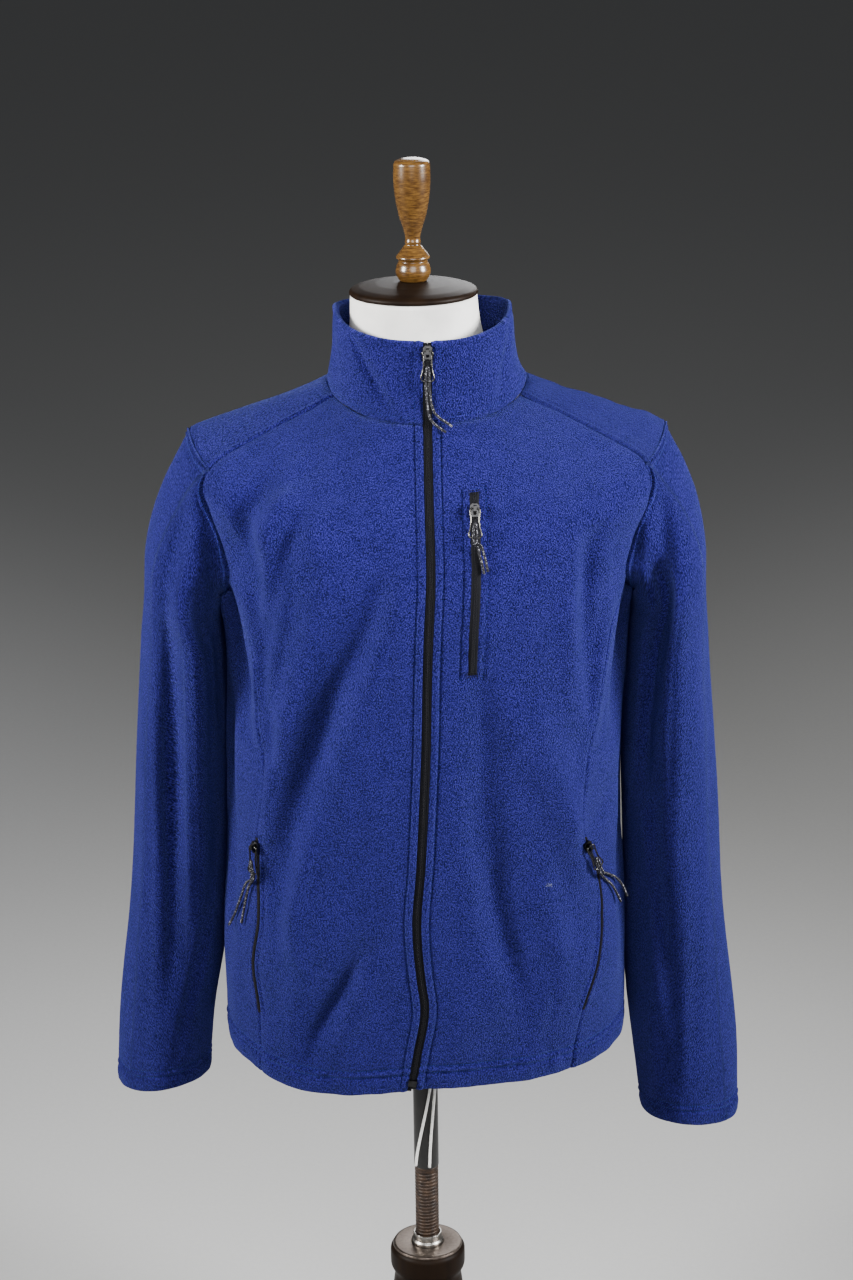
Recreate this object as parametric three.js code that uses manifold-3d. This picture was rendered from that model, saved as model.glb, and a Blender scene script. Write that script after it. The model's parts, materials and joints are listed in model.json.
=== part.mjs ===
// Fleece zip jacket standing on a limbless dress form. Millimetres, +Z up, origin on the floor
// under the stand. The wearer's front looks along -Y, and "right" in a name is the viewer's right.
import * as THREE from 'three';
import { mergeVertices } from 'three/addons/utils/BufferGeometryUtils.js';
import Module from 'manifold-3d';

const wasm = await Module();
wasm.setup();

// A table's rows with their columns named
function rows(columns, values) {
  const names = columns.split(' ');
  return values.map((row) => Object.fromEntries(names.map((name, i) => [name, row[i]])));
}

// Driving dimensions
const WALL = 2.6; // fleece
const HEM_WALL = 4.2; // fleece turned up once
const HEM_SHARE = 0.03; // part of the height that the turned hem takes
const COLLAR_WALL = 4.4; // two layers of fleece
const SEAM_S = 0.00035; // half of a seam's gap round the body, as a share of half a turn
const SEAM_T = 0.0003; // the same gap up the body, as a share of its height
const FRONT_EDGE = 6.4; // from the zip's middle to the edge of the fleece
const TAPE_EDGE = 6.0; // from the zip's middle to the outer edge of its tape
const TAPE_GAP = 0.35; // half of the gap between the two tapes
const TAPE_SUNK = 0.9; // the tape's face below the fleece's
const TAPE_THICK = 1.2;
const RIDGE_ROUNDING = 0.12; // how round the shoulder line is

// Rings round the body. level is 0 at the hem and 1 at the neck seam.
const RINGS = rows('level width front back zFront zSide zBack square shift', [
  [0.0, 211, 126, 128, 533, 549, 541, 2.3, 1],
  [0.13, 212, 130, 131, 650, 655, 652, 2.3, 2],
  [0.27, 206, 135, 131, 762, 765, 764, 2.3, 3],
  [0.41, 204, 139, 130, 870, 873, 872, 2.3, 5],
  [0.54, 205, 141, 131, 970, 975, 973, 2.3, 8],
  [0.62, 209, 141, 132, 1035, 1040, 1038, 2.3, 9],
  [0.74, 223, 134, 130, 1085, 1122, 1103, 2.25, 10],
  [0.84, 242, 124, 121, 1118, 1197, 1148, 2.2, 11],
  [0.88, 231, 118, 115, 1133, 1210, 1165, 2.2, 12],
  [0.93, 178, 106, 105, 1160, 1229, 1200, 2.15, 12],
  [0.965, 138, 93, 93, 1190, 1241, 1230, 2.1, 12],
  [1.0, 99, 80, 73, 1225, 1254, 1262, 2.1, 12],
]);

// Rings up the collar. level is 0 at the neck seam and 1 at the top edge.
const COLLAR_RINGS = rows('level width front back zFront zSide zBack square shift', [
  [0.0, 99, 80, 73, 1225.5, 1254.5, 1262.5, 2.1, 12],
  [0.2, 95, 78, 73, 1240, 1266, 1273, 2.15, 9.5],
  [0.5, 91, 75, 73, 1264, 1290, 1291, 2.2, 9],
  [0.8, 89.5, 72, 74, 1289, 1314, 1311, 2.3, 9],
  [1.0, 87.5, 70, 74, 1304, 1327, 1323, 2.3, 8.5],
]);

// The zip's line wanders as the fronts hang: x of the zip at each level
const ZIP_LINE = [
  { level: 0.0, x: -14 },
  { level: 0.04, x: -8 },
  { level: 0.105, x: 1 },
  { level: 0.135, x: -2 },
  { level: 0.215, x: -6 },
  { level: 0.295, x: -1 },
  { level: 0.385, x: 3 },
  { level: 0.465, x: 6 },
  { level: 0.55, x: 8 },
  { level: 0.67, x: 12 },
  { level: 1.0, x: 12 },
];

// Princess seams: share of the half turn from the zip, at each level
const PRINCESS = rows('level left right', [
  [0.0, 0.28, 0.25],
  [0.075, 0.288, 0.268],
  [0.13, 0.303, 0.31],
  [0.2, 0.287, 0.328],
  [0.26, 0.292, 0.315],
  [0.32, 0.293, 0.27],
  [0.4, 0.272, 0.274],
  [0.48, 0.297, 0.29],
  [0.58, 0.3, 0.318],
  [0.6556, 0.376, 0.376],
]);

// The armhole's opening in the body
const ARMHOLE = {
  bottom: 0.625,
  top: 0.87,
  tip: 0.36,
  front: 0.148,
  back: 0.13,
  lowRound: 0.3,
  backRound: 0.55,
};
const SIDE_TOP_SHARE = 0.12; // height in the armhole where the side panel's seams meet it

// Largest folds, as troughs (below 0) and ridges (above 0), on the outer face.
// around and level are at the upper and lower end, width is half the fold in mm.
const FOLDS = rows('side around0 level0 around1 level1 bend width depth', [
  [-1, 0.252, 0.93, 0.295, 0.6, -0.01, 20, -5],
  [-1, 0.2, 0.93, 0.308, 0.5, -0.02, 20, 5],
  [-1, 0.148, 0.83, 0.26, 0.42, 0, 20, -5],
  [-1, 0.18, 0.62, 0.276, 0.3, 0, 24, 6],
  [-1, 0.044, 0.85, 0.24, 0.22, -0.012, 34, -9],
  [-1, 0.16, 0.36, 0.2, 0.14, 0.01, 22, 6],
  [-1, 0.07, 0.2, 0.172, 0.02, 0, 20, -6],
  [1, 0.22, 0.82, 0.264, 0.56, 0, 18, -4],
  [1, 0.2, 0.66, 0.26, 0.46, 0, 20, 4],
  [1, 0.072, 0.6, 0.16, 0.03, -0.02, 28, -8],
  [1, 0.15, 0.53, 0.3, 0.2, 0, 30, 8],
  [-1, 0.44, 0.52, 0.4, 0.1, 0, 24, -7],
  [1, 0.47, 0.5, 0.43, 0.08, 0, 24, -6],
  [-1, 0.7, 0.76, 0.8, 0.34, 0.01, 30, -8],
  [1, 0.71, 0.78, 0.82, 0.4, 0.01, 30, -7],
  [-1, 0.66, 0.46, 0.7, 0.06, 0, 26, -6],
  [1, 0.64, 0.5, 0.69, 0.08, 0, 26, -7],
  [-1, 0.88, 0.62, 0.84, 0.1, 0, 34, 6],
  [1, 0.9, 0.58, 0.86, 0.08, 0, 34, 5],
  [-1, 0.304, 0.66, 0.294, 0.44, 0, 17, 5],
  [-1, 0.392, 0.66, 0.362, 0.45, 0, 27, -12],
  [1, 0.318, 0.66, 0.292, 0.44, 0, 16, 4],
  [1, 0.4, 0.66, 0.375, 0.42, 0, 24, -8],
]);
const HEM_SAG = { side: -1, around: 0.15, width: 0.2, drop: 11, fades: 0.2 };
const MM_AROUND = 540; // half a turn round the body

// Sections down the sleeves, square to the sleeve. x is measured outward from the middle plane,
// half and depth are across and front to back, and tilt turns the section from the armhole's
// upright plane (0) to level (90).
const SLEEVES = {
  right: [
    { share: 0.0, x: 228, y: 4, z: 1125, half: 84, depth: 62, tilt: 0 },
    { share: 0.08, x: 250, y: 2, z: 1094, half: 59, depth: 74, tilt: 27 },
    { share: 0.17, x: 258, y: 3, z: 1042, half: 38, depth: 84, tilt: 70 },
    { share: 0.27, x: 255.5, y: 16, z: 985, half: 42.5, depth: 85, tilt: 88 },
    { share: 0.42, x: 258.5, y: 28, z: 864, half: 48.5, depth: 82, tilt: 92 },
    { share: 0.6, x: 266.5, y: 32, z: 720, half: 52.5, depth: 74, tilt: 94 },
    { share: 0.75, x: 273, y: 28, z: 600, half: 57, depth: 66, tilt: 94 },
    { share: 0.9, x: 282, y: 16, z: 505, half: 56, depth: 56, tilt: 94 },
    { share: 1.0, x: 287, y: 8, z: 442, half: 53, depth: 51, tilt: 93 },
  ],
  left: [
    { share: 0.0, x: 208, y: 4, z: 1125, half: 84, depth: 62, tilt: 0 },
    { share: 0.08, x: 231, y: 2, z: 1094, half: 59, depth: 74, tilt: 27 },
    { share: 0.17, x: 241, y: 3, z: 1041, half: 39, depth: 84, tilt: 72 },
    { share: 0.27, x: 241, y: 16, z: 985, half: 43.5, depth: 85, tilt: 88 },
    { share: 0.42, x: 247.5, y: 28, z: 872, half: 48.5, depth: 82, tilt: 92 },
    { share: 0.6, x: 256, y: 32, z: 740, half: 52, depth: 74, tilt: 95 },
    { share: 0.75, x: 265, y: 28, z: 635, half: 55, depth: 66, tilt: 97 },
    { share: 0.9, x: 278, y: 16, z: 545, half: 51, depth: 56, tilt: 98 },
    { share: 1.0, x: 283, y: 8, z: 492, half: 50, depth: 51, tilt: 96 },
  ],
};
const CAP_SHARE = 0.15; // part of the sleeve that still follows the armhole

// Largest folds of the sleeves. turn is 0 outside, 0.25 in front, 0.5 at the body, 0.75 behind.
const SLEEVE_FOLDS = rows('side turn0 share0 turn1 share1 width depth', [
  [-1, 0.17, 0.04, 0.26, 0.85, 0.055, -8],
  [-1, 0.25, 0.02, 0.34, 0.6, 0.05, 6],
  [-1, 0.34, 0.03, 0.4, 0.4, 0.05, -5],
  [-1, 0.72, 0.05, 0.66, 0.7, 0.06, -7],
  [-1, 0.86, 0.3, 0.78, 0.9, 0.06, 5],
  [1, 0.3, 0.03, 0.37, 0.5, 0.05, -9],
  [1, 0.12, 0.1, 0.2, 0.75, 0.06, 4],
  [1, 0.28, 0.7, 0.33, 0.95, 0.06, -5],
  [1, 0.7, 0.05, 0.66, 0.6, 0.06, -8],
  [1, 0.8, 0.35, 0.76, 0.9, 0.06, 5],
]);

// Rows and columns of the cloth's faces
const LOW_ROWS = 14; // hem to the side panel's top
const ARMHOLE_SHARES = [0.12, 0.24, 0.38, 0.52, 0.66, 0.78, 0.88, 0.95, 1];
const YOKE_ROWS = 5; // armhole's top to the neck
const FRONT_COLUMNS = 10;
const SIDE_COLUMNS = 7;
const BACK_COLUMNS = 11; // on each side of the middle of the back
const SLEEVE_ROWS = 18;
const COLLAR_ROWS = 5;

// The form inside: how far it lies below the cloth's outer face, in front and at the side
const FORM_INSET = [
  { level: 0.045, front: 36, side: 36 },
  { level: 0.27, front: 32, side: 36 },
  { level: 0.45, front: 24, side: 30 },
  { level: 0.62, front: 17, side: 30 },
  { level: 0.74, front: 12, side: 36 },
  { level: 0.84, front: 7, side: 40 },
  { level: 0.89, front: 5, side: 24 },
  { level: 0.925, front: 6, side: 5 },
  { level: 0.95, front: 6, side: 4.4 },
  { level: 0.975, front: 7, side: 4.8 },
  { level: 1.0, front: 10, side: 9 },
];
const FORM_LEVELS = [
  0.12, 0.2, 0.28, 0.37, 0.46, 0.55, 0.62, 0.68, 0.74, 0.79, 0.84, 0.875, 0.905, 0.93, 0.95, 0.972, 1,
];
const FORM_BOTTOM = 575;
const FORM_NECK = [
  { z: 1274, width: 73, front: 65, back: 58, shift: 6 },
  { z: 1292, width: 67.5, front: 64, back: 58, shift: 3 },
  { z: 1312, width: 64.5, front: 63, back: 59, shift: 1 },
  { z: 1337.7, width: 62.5, front: 62.5, back: 59, shift: 0 },
];
const FORM_COLUMNS = 14; // on each side

// Stand
const BASE_RADIUS = 190;
const BASE_HEIGHT = 26;
const COLUMN_TOP = 280;
const COLUMN_RADIUS = 41;
const ROD_RADIUS = 13;
const ROD_HOLE = 13.5;
const ROD_BOTTOM = 130;
const HOLE_BOTTOM = 60;
const RING_TOP = 293;
const POST_BOTTOM = 376;
const POST_RADIUS = 13.5;
const CAP_RADIUS = 63.5;
const CAP_BOTTOM = 1338;
const CAP_TOP = 1351.5;
const FACE_GAP = 0.3;

const lerp = (a, b, k) => a + (b - a) * k;
const clamp = (x, low, high) => Math.min(Math.max(x, low), high);
const smooth = (x) => {
  const k = clamp(x, 0, 1);
  return k * k * (3 - 2 * k);
};

// A smooth curve through one column of a table, with slopes from its neighbours
function curve(table, key, column, at) {
  const last = table.length - 1;
  const x = clamp(at, table[0][key], table[last][key]);
  let i = 0;
  while (i < last - 1 && x > table[i + 1][key]) i += 1;
  const slope = (n) => {
    const low = table[Math.max(n - 1, 0)];
    const high = table[Math.min(n + 1, last)];
    const here = table[n];
    if (n === 0 || n === last) return (high[column] - low[column]) / (high[key] - low[key]);
    const before = here[key] - low[key];
    const after = high[key] - here[key];
    const rise = (here[column] - low[column]) / before;
    const next = (high[column] - here[column]) / after;
    return (rise * after + next * before) / (before + after);
  };
  const span = table[i + 1][key] - table[i][key];
  const k = (x - table[i][key]) / span;
  const k2 = k * k;
  const k3 = k2 * k;
  const start = (2 * k3 - 3 * k2 + 1) * table[i][column] + (k3 - 2 * k2 + k) * span * slope(i);
  return start + (3 * k2 - 2 * k3) * table[i + 1][column] + (k3 - k2) * span * slope(i + 1);
}

// The hem of one front hangs a little lower than the rest
function hemSag(around, level) {
  const away = (around - HEM_SAG.around) / HEM_SAG.width;
  const share = 1 - level / HEM_SAG.fades;
  return Math.abs(away) < 1 && share > 0 ? HEM_SAG.drop * (1 - away * away) ** 2 * share * share : 0;
}

// A point of a ring stack: around runs from 0 in front through 0.5 at the side to 1 behind
function ringPoint(table, side, around, level) {
  const value = (column) => curve(table, 'level', column, level);
  const angle = Math.PI * around;
  const power = 2 / value('square');
  const across = Math.abs(Math.sin(angle)) ** power;
  const along = Math.abs(Math.cos(angle)) ** power;
  const inFront = around <= 0.5;
  const depth = inFront ? -value('front') : value('back');
  const zEnd = inFront ? value('zFront') : value('zBack');
  const r = RIDGE_ROUNDING;
  const drop = (Math.hypot(along, r) - r) / (Math.hypot(1, r) - r);
  const shift = value('shift');
  const sag = side === HEM_SAG.side && table === RINGS ? hemSag(around, level) : 0;
  const zipX = table === RINGS ? curve(ZIP_LINE, 'level', 'x', level) : lerp(12, 13, level);
  const pull = clamp(1 - around / 0.5, 0, 1) ** 2;
  const x = side * value('width') * across + shift + (zipX - shift) * pull;
  return new THREE.Vector3(x, depth * along, lerp(value('zSide'), zEnd, drop) - sag);
}

// The outward direction of a ring stack, from small steps along it
function ringNormal(table, side, around, level) {
  const step = 0.004;
  const a0 = clamp(around - step, 0.002, 0.998);
  const a1 = clamp(around + step, 0.002, 0.998);
  const l0 = clamp(level - step, 0, 1);
  const l1 = clamp(level + step, 0, 1);
  const alongRing = ringPoint(table, side, a1, level).sub(ringPoint(table, side, a0, level));
  const up = ringPoint(table, side, around, l1).sub(ringPoint(table, side, around, l0));
  return alongRing.cross(up).multiplyScalar(side).normalize();
}

// Height of the folds above the plain surface
function foldHeight(side, around, level) {
  let height = 0;
  for (const fold of FOLDS) {
    const k = (fold.level0 - level) / (fold.level0 - fold.level1);
    if (fold.side === side && k > 0 && k < 1) {
      const centre = lerp(fold.around0, fold.around1, k) + fold.bend * 4 * k * (1 - k);
      const away = ((around - centre) * MM_AROUND) / fold.width;
      if (Math.abs(away) < 1) height += fold.depth * Math.sin(Math.PI * k) ** 0.6 * (1 - away * away) ** 2;
    }
  }
  return height;
}

// A point of the jacket's body, lifted from the outer face
function bodyPoint(side, around, level, lift = 0) {
  const point = ringPoint(RINGS, side, around, level);
  const out = ringNormal(RINGS, side, around, level);
  return point.addScaledVector(out, foldHeight(side, around, level) + lift);
}

// The share of the half turn that lies a given distance from the zip's middle
function aroundAt(table, level, distance) {
  const width = curve(table, 'level', 'width', level);
  const power = curve(table, 'level', 'square', level) / 2;
  return Math.asin((distance / width) ** power) / Math.PI;
}

// Edges of the panels
const sideName = (side) => (side > 0 ? 'right' : 'left');
const armholeLevel = (share) => lerp(ARMHOLE.bottom, ARMHOLE.top, share);
const openness = (share) => (1 - (1 - Math.min(share / ARMHOLE.lowRound, 1)) ** 2.2) ** (1 / 2.2);
const armholeFront = (share) =>
  0.5 - lerp(ARMHOLE.front, 0.5 - ARMHOLE.tip, smooth(share)) * openness(share);
function armholeBack(share) {
  if (share < ARMHOLE.backRound) return 0.5 + ARMHOLE.back * openness(share);
  const k = (share - ARMHOLE.backRound) / (1 - ARMHOLE.backRound);
  return ARMHOLE.tip + (0.5 + ARMHOLE.back - ARMHOLE.tip) * Math.max(1 - k ** 2.4, 0) ** (1 / 2.4);
}
const SIDE_TOP = armholeLevel(SIDE_TOP_SHARE);
const BACK_SIDE_TOP = armholeBack(SIDE_TOP_SHARE);
function armholeShareUnder(around) {
  const reach = around < 0.5 ? 0.5 - armholeFront(SIDE_TOP_SHARE) : BACK_SIDE_TOP - 0.5;
  const u = (Math.abs(around - 0.5) / reach) * openness(SIDE_TOP_SHARE);
  return ARMHOLE.lowRound * (1 - (1 - u ** 2.2) ** (1 / 2.2));
}
function princess(side, level) {
  const seam = curve(PRINCESS, 'level', sideName(side), level);
  return lerp(seam, armholeFront(SIDE_TOP_SHARE), smooth((level - 0.6) / (SIDE_TOP - 0.6)));
}
const backSideSeam = (level) => lerp(0.6, BACK_SIDE_TOP, smooth(level / SIDE_TOP));
const shoulderSeam = (level) => {
  const k = (level - ARMHOLE.top) / (1 - ARMHOLE.top);
  return lerp(ARMHOLE.tip, 0.375, k) + 0.06 * k * (1 - k);
};
function frontPanelEdge(side, level) {
  if (level <= SIDE_TOP) return princess(side, level);
  if (level < ARMHOLE.top) return armholeFront((level - ARMHOLE.bottom) / (ARMHOLE.top - ARMHOLE.bottom));
  return shoulderSeam(level);
}
function backPanelEdge(level) {
  if (level <= SIDE_TOP) return backSideSeam(level);
  if (level < ARMHOLE.top) return armholeBack((level - ARMHOLE.bottom) / (ARMHOLE.top - ARMHOLE.bottom));
  return shoulderSeam(level);
}

const lowLevels = Array.from({ length: LOW_ROWS }, (_, i) => (SIDE_TOP * i) / LOW_ROWS);
const yokeLevel = (share) => lerp(ARMHOLE.top, 1 - SEAM_T, share);
const yokeLevels = Array.from({ length: YOKE_ROWS }, (_, i) => yokeLevel((i + 1) / YOKE_ROWS));
const LEVELS = [...lowLevels, ...ARMHOLE_SHARES.map(armholeLevel), ...yokeLevels];

const wallAt = (level) => lerp(HEM_WALL, WALL, smooth((level - HEM_SHARE) / HEM_SHARE));

// One closed body from two grids of points, the outer face and the inner one
function shell(outer, inner, closedRound) {
  const rows = outer.length;
  const columns = outer[0].length;
  const points = [...outer.flat(), ...inner.flat()];
  const at = (layer, r, c) => layer * rows * columns + r * columns + (c % columns);
  const faces = [];
  const quad = (a, b, c, d) => faces.push(a, b, c, a, c, d);
  const lastColumn = closedRound ? columns : columns - 1;
  for (let r = 0; r < rows - 1; r += 1) {
    for (let c = 0; c < lastColumn; c += 1) {
      quad(at(0, r, c), at(0, r, c + 1), at(0, r + 1, c + 1), at(0, r + 1, c));
      quad(at(1, r, c), at(1, r + 1, c), at(1, r + 1, c + 1), at(1, r, c + 1));
    }
    if (!closedRound) {
      quad(at(0, r, 0), at(0, r + 1, 0), at(1, r + 1, 0), at(1, r, 0));
      const end = columns - 1;
      quad(at(0, r, end), at(1, r, end), at(1, r + 1, end), at(0, r + 1, end));
    }
  }
  for (let c = 0; c < lastColumn; c += 1) {
    quad(at(0, 0, c), at(1, 0, c), at(1, 0, c + 1), at(0, 0, c + 1));
    quad(at(0, rows - 1, c), at(0, rows - 1, c + 1), at(1, rows - 1, c + 1), at(1, rows - 1, c));
  }
  return solid(points, faces);
}

// A geometry from points and faces, turned so that its faces point out
function solid(points, faces) {
  let volume = 0;
  for (let i = 0; i < faces.length; i += 3) {
    const [a, b, c] = [points[faces[i]], points[faces[i + 1]], points[faces[i + 2]]];
    volume += a.dot(b.clone().cross(c));
  }
  const index = volume > 0 ? faces : faces.slice().reverse();
  const geometry = new THREE.BufferGeometry();
  const positions = points.flatMap((p) => [p.x, p.y, p.z]);
  geometry.setAttribute('position', new THREE.Float32BufferAttribute(positions, 3));
  geometry.setIndex(index);
  return geometry;
}

// Rings of points closed at both ends by flat fans
function stack(rings) {
  const columns = rings[0].length;
  const points = rings.flat();
  const faces = [];
  for (let r = 0; r < rings.length - 1; r += 1) {
    for (let c = 0; c < columns; c += 1) {
      const a = r * columns + c;
      const b = r * columns + ((c + 1) % columns);
      faces.push(a, b, b + columns, a, b + columns, a + columns);
    }
  }
  for (const r of [0, rings.length - 1]) {
    const middle = rings[r].reduce((sum, p) => sum.add(p), new THREE.Vector3()).divideScalar(columns);
    points.push(middle);
    for (let c = 0; c < columns; c += 1) {
      const a = r * columns + c;
      const b = r * columns + ((c + 1) % columns);
      faces.push(...(r === 0 ? [b, a, points.length - 1] : [a, b, points.length - 1]));
    }
  }
  return solid(points, faces);
}

// Panels of the body
function panel(levels, edges, place) {
  const grid = (inside) =>
    levels.map((level) => {
      const [low, high, columns] = edges(level);
      const lift = inside ? -wallAt(level) : 0;
      const along = (c) => lerp(low, high, c / columns);
      return Array.from({ length: columns + 1 }, (_, c) => place(along(c), level, lift));
    });
  return shell(grid(false), grid(true), false);
}

function frontPanel(side) {
  const edges = (level) => {
    const zipEdge = aroundAt(RINGS, level, FRONT_EDGE);
    return [zipEdge, frontPanelEdge(side, level) - SEAM_S, FRONT_COLUMNS];
  };
  return panel(LEVELS, edges, (around, level, lift) => bodyPoint(side, around, level, lift));
}

function backPanel() {
  const place = (turn, level, lift) => {
    const side = turn < 0 ? -1 : 1;
    return bodyPoint(side, 1 - Math.abs(turn) * (1 - backPanelEdge(level) - SEAM_S), level, lift);
  };
  return panel(LEVELS, () => [-1, 1, 2 * BACK_COLUMNS], place);
}

function sidePanel(side) {
  const rows = [...lowLevels, SIDE_TOP];
  const front = armholeFront(SIDE_TOP_SHARE);
  const place = (k, level, lift) => {
    const top = armholeLevel(armholeShareUnder(lerp(front, BACK_SIDE_TOP, k)));
    const around = lerp(princess(side, level) + SEAM_S, backSideSeam(level) - SEAM_S, k);
    return bodyPoint(side, around, (level / SIDE_TOP) * (top - SEAM_T), lift);
  };
  return panel(rows, () => [0, 1, SIDE_COLUMNS], place);
}

// The armhole's edge as the sleeve meets it: down the front, under, and up the back
function armholeLoop() {
  const down = ARMHOLE_SHARES.slice().reverse().map((share) => [armholeFront(share), share]);
  const under = [];
  for (let c = 1; c < SIDE_COLUMNS; c += 1) {
    const around = lerp(armholeFront(SIDE_TOP_SHARE), BACK_SIDE_TOP, c / SIDE_COLUMNS);
    under.push([around, armholeShareUnder(around)]);
  }
  const up = ARMHOLE_SHARES.slice(0, -1).map((share) => [armholeBack(share), share]);
  return [...down, ...under, ...up].map(([around, share]) => {
    const inward = 0.006;
    return [lerp(around, 0.49, inward), armholeLevel(lerp(share, 0.5, inward))];
  });
}

function sleeve(side) {
  const table = SLEEVES[sideName(side)];
  const loop = armholeLoop();
  const edge = loop.map(([around, level]) => bodyPoint(side, around, level));
  const out = loop.map(([around, level]) => ringNormal(RINGS, side, around, level));
  const count = loop.length;
  const top = edge.reduce((best, p, i) => (p.z > edge[best].z ? i : best), 0);
  const low = edge.reduce((best, p, i) => (p.z < edge[best].z ? i : best), 0);
  const lengths = edge.map((p, i) => p.distanceTo(edge[(i + 1) % count]));
  const walk = (from, to) => {
    let sum = 0;
    for (let i = from; i !== to; i = (i + 1) % count) sum += lengths[i];
    return sum;
  };
  // Turn of each column: 0 at the top of the armhole, a half at its bottom
  const turns = edge.map((_, i) => {
    const inFront = (i - top + count) % count < (low - top + count) % count;
    if (inFront) return (0.5 * walk(top, i)) / walk(top, low);
    return 0.5 + (0.5 * walk(low, i)) / walk(low, top);
  });
  const even = edge.map((_, i) => ((i - top + count) % count) / count);
  const shares = Array.from({ length: SLEEVE_ROWS + 1 }, (_, r) => (r / SLEEVE_ROWS) ** 1.15);
  const surface = (share, i) => {
    const value = (column) => curve(table, 'share', column, share);
    const turn = lerp(turns[i], even[i], smooth((share - 0.05) / 0.3));
    const angle = 2 * Math.PI * turn;
    const tilt = THREE.MathUtils.degToRad(value('tilt'));
    let fold = 0;
    for (const f of SLEEVE_FOLDS) {
      const k = (share - f.share0) / (f.share1 - f.share0);
      const away = (turn - lerp(f.turn0, f.turn1, k)) / f.width;
      const inside = f.side === side && k > 0 && k < 1 && Math.abs(away) < 1;
      if (inside) fold += f.depth * Math.sin(Math.PI * k) ** 0.6 * (1 - away * away) ** 2;
    }
    const across = (value('half') + fold) * Math.cos(angle);
    const forward = (value('depth') + fold) * Math.sin(angle);
    const tube = new THREE.Vector3(
      side * (value('x') + across * Math.sin(tilt)),
      value('y') - forward,
      value('z') + across * Math.cos(tilt),
    );
    return tube.lerp(edge[i], 1 - smooth(share / CAP_SHARE));
  };
  const outer = shares.map((share) => edge.map((_, i) => surface(share, i)));
  const inner = outer.map((ring, r) =>
    ring.map((p, i) => {
      if (r === 0) return p.clone().addScaledVector(out[i], -WALL);
      const round = ring[(i + 1) % count].clone().sub(ring[(i - 1 + count) % count]);
      const down = outer[Math.min(r + 1, SLEEVE_ROWS)][i].clone().sub(outer[r - 1][i]);
      const normal = round.cross(down).multiplyScalar(side).normalize();
      const inward = normal.lerp(out[i], (1 - smooth(shares[r] / 0.03))).normalize();
      return p.clone().addScaledVector(inward, -lerp(WALL, HEM_WALL, smooth((shares[r] - 0.94) / 0.04)));
    }),
  );
  return shell(outer, inner, true);
}

// The collar's columns stand on the panels' columns
function collarColumns() {
  const front = aroundAt(COLLAR_RINGS, 0, FRONT_EDGE);
  const frontTo = frontPanelEdge(1, 1);
  const columns = [];
  for (let c = 0; c <= FRONT_COLUMNS; c += 1) columns.push(lerp(front, frontTo, c / FRONT_COLUMNS));
  for (let c = 1; c <= BACK_COLUMNS; c += 1) columns.push(lerp(frontTo, 1, c / BACK_COLUMNS));
  return columns;
}

function collar() {
  const half = collarColumns();
  const columns = [...half.map((a) => [1, a]), ...half.slice(0, -1).reverse().map((a) => [-1, a])];
  const grid = (lift) =>
    Array.from({ length: COLLAR_ROWS + 1 }, (_, r) => {
      const level = r / COLLAR_ROWS;
      return columns.map(([side, around]) => {
        const edge = aroundAt(COLLAR_RINGS, level, FRONT_EDGE);
        const start = half[0];
        const place = around + (edge - start) * (1 - (around - start) / (1 - start));
        const normal = ringNormal(COLLAR_RINGS, side, place, level);
        return ringPoint(COLLAR_RINGS, side, place, level).addScaledVector(normal, lift);
      });
    });
  return shell(grid(0), grid(-COLLAR_WALL), false);
}

// A place on the zip's line, on the body below level 1 and on the collar above it
function zipPlace(side, height, distance, lift) {
  if (height <= 1) return bodyPoint(side, aroundAt(RINGS, height, distance), height, lift);
  const level = height - 1;
  const around = aroundAt(COLLAR_RINGS, level, distance);
  const normal = ringNormal(COLLAR_RINGS, side, around, level);
  return ringPoint(COLLAR_RINGS, side, around, level).addScaledVector(normal, lift);
}

function zipTape(side) {
  const onCollar = Array.from({ length: COLLAR_ROWS + 1 }, (_, r) => 1 + r / COLLAR_ROWS);
  const heights = [...LEVELS.slice(0, -1), ...onCollar];
  const grid = (lift) => heights.map((h) => [TAPE_GAP, TAPE_EDGE].map((d) => zipPlace(side, h, d, lift)));
  return shell(grid(-TAPE_SUNK), grid(-TAPE_SUNK - TAPE_THICK), false);
}

// A point on the flat faces of a panel's grid, by its columns' places and its row levels
function facetPoint(side, around, level, lift, low, high, columns) {
  let row = 0;
  while (row < LEVELS.length - 2 && LEVELS[row + 1] < level) row += 1;
  const onRow = (r) => {
    const rowLevel = LEVELS[r];
    const from = low(rowLevel);
    const to = high(rowLevel);
    const step = clamp(((around - from) / (to - from)) * columns, 0, columns - 1e-6);
    const c = Math.floor(step);
    const a = bodyPoint(side, lerp(from, to, c / columns), rowLevel);
    return a.lerp(bodyPoint(side, lerp(from, to, (c + 1) / columns), rowLevel), step - c);
  };
  const k = (level - LEVELS[row]) / (LEVELS[row + 1] - LEVELS[row]);
  const out = ringNormal(RINGS, side, around, level);
  return onRow(row).lerp(onRow(row + 1), k).addScaledVector(out, lift);
}
const onFront = (side, around, level, lift) =>
  facetPoint(
    side,
    around,
    level,
    lift,
    (l) => aroundAt(RINGS, l, FRONT_EDGE),
    (l) => frontPanelEdge(side, l) - SEAM_S,
    FRONT_COLUMNS,
  );
const onSide = (side, around, level, lift) =>
  facetPoint(
    side,
    around,
    level,
    lift,
    (l) => princess(side, l) + SEAM_S,
    (l) => backSideSeam(l) - SEAM_S,
    SIDE_COLUMNS,
  );

const TAPE_LOW = 0.8; // underside of a pocket's tape above the panel
const TAPE_HIGH = 1.8;

const CHEST = { level0: 0.562, level1: 0.932, fromZip: 44, half: 6 };
const chestAround = (level, offset = 0) => aroundAt(RINGS, level, CHEST.fromZip + offset);

function rowsBetween(low, high) {
  return [low, ...LEVELS.filter((l) => l > low + 0.004 && l < high - 0.004), high];
}

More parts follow.
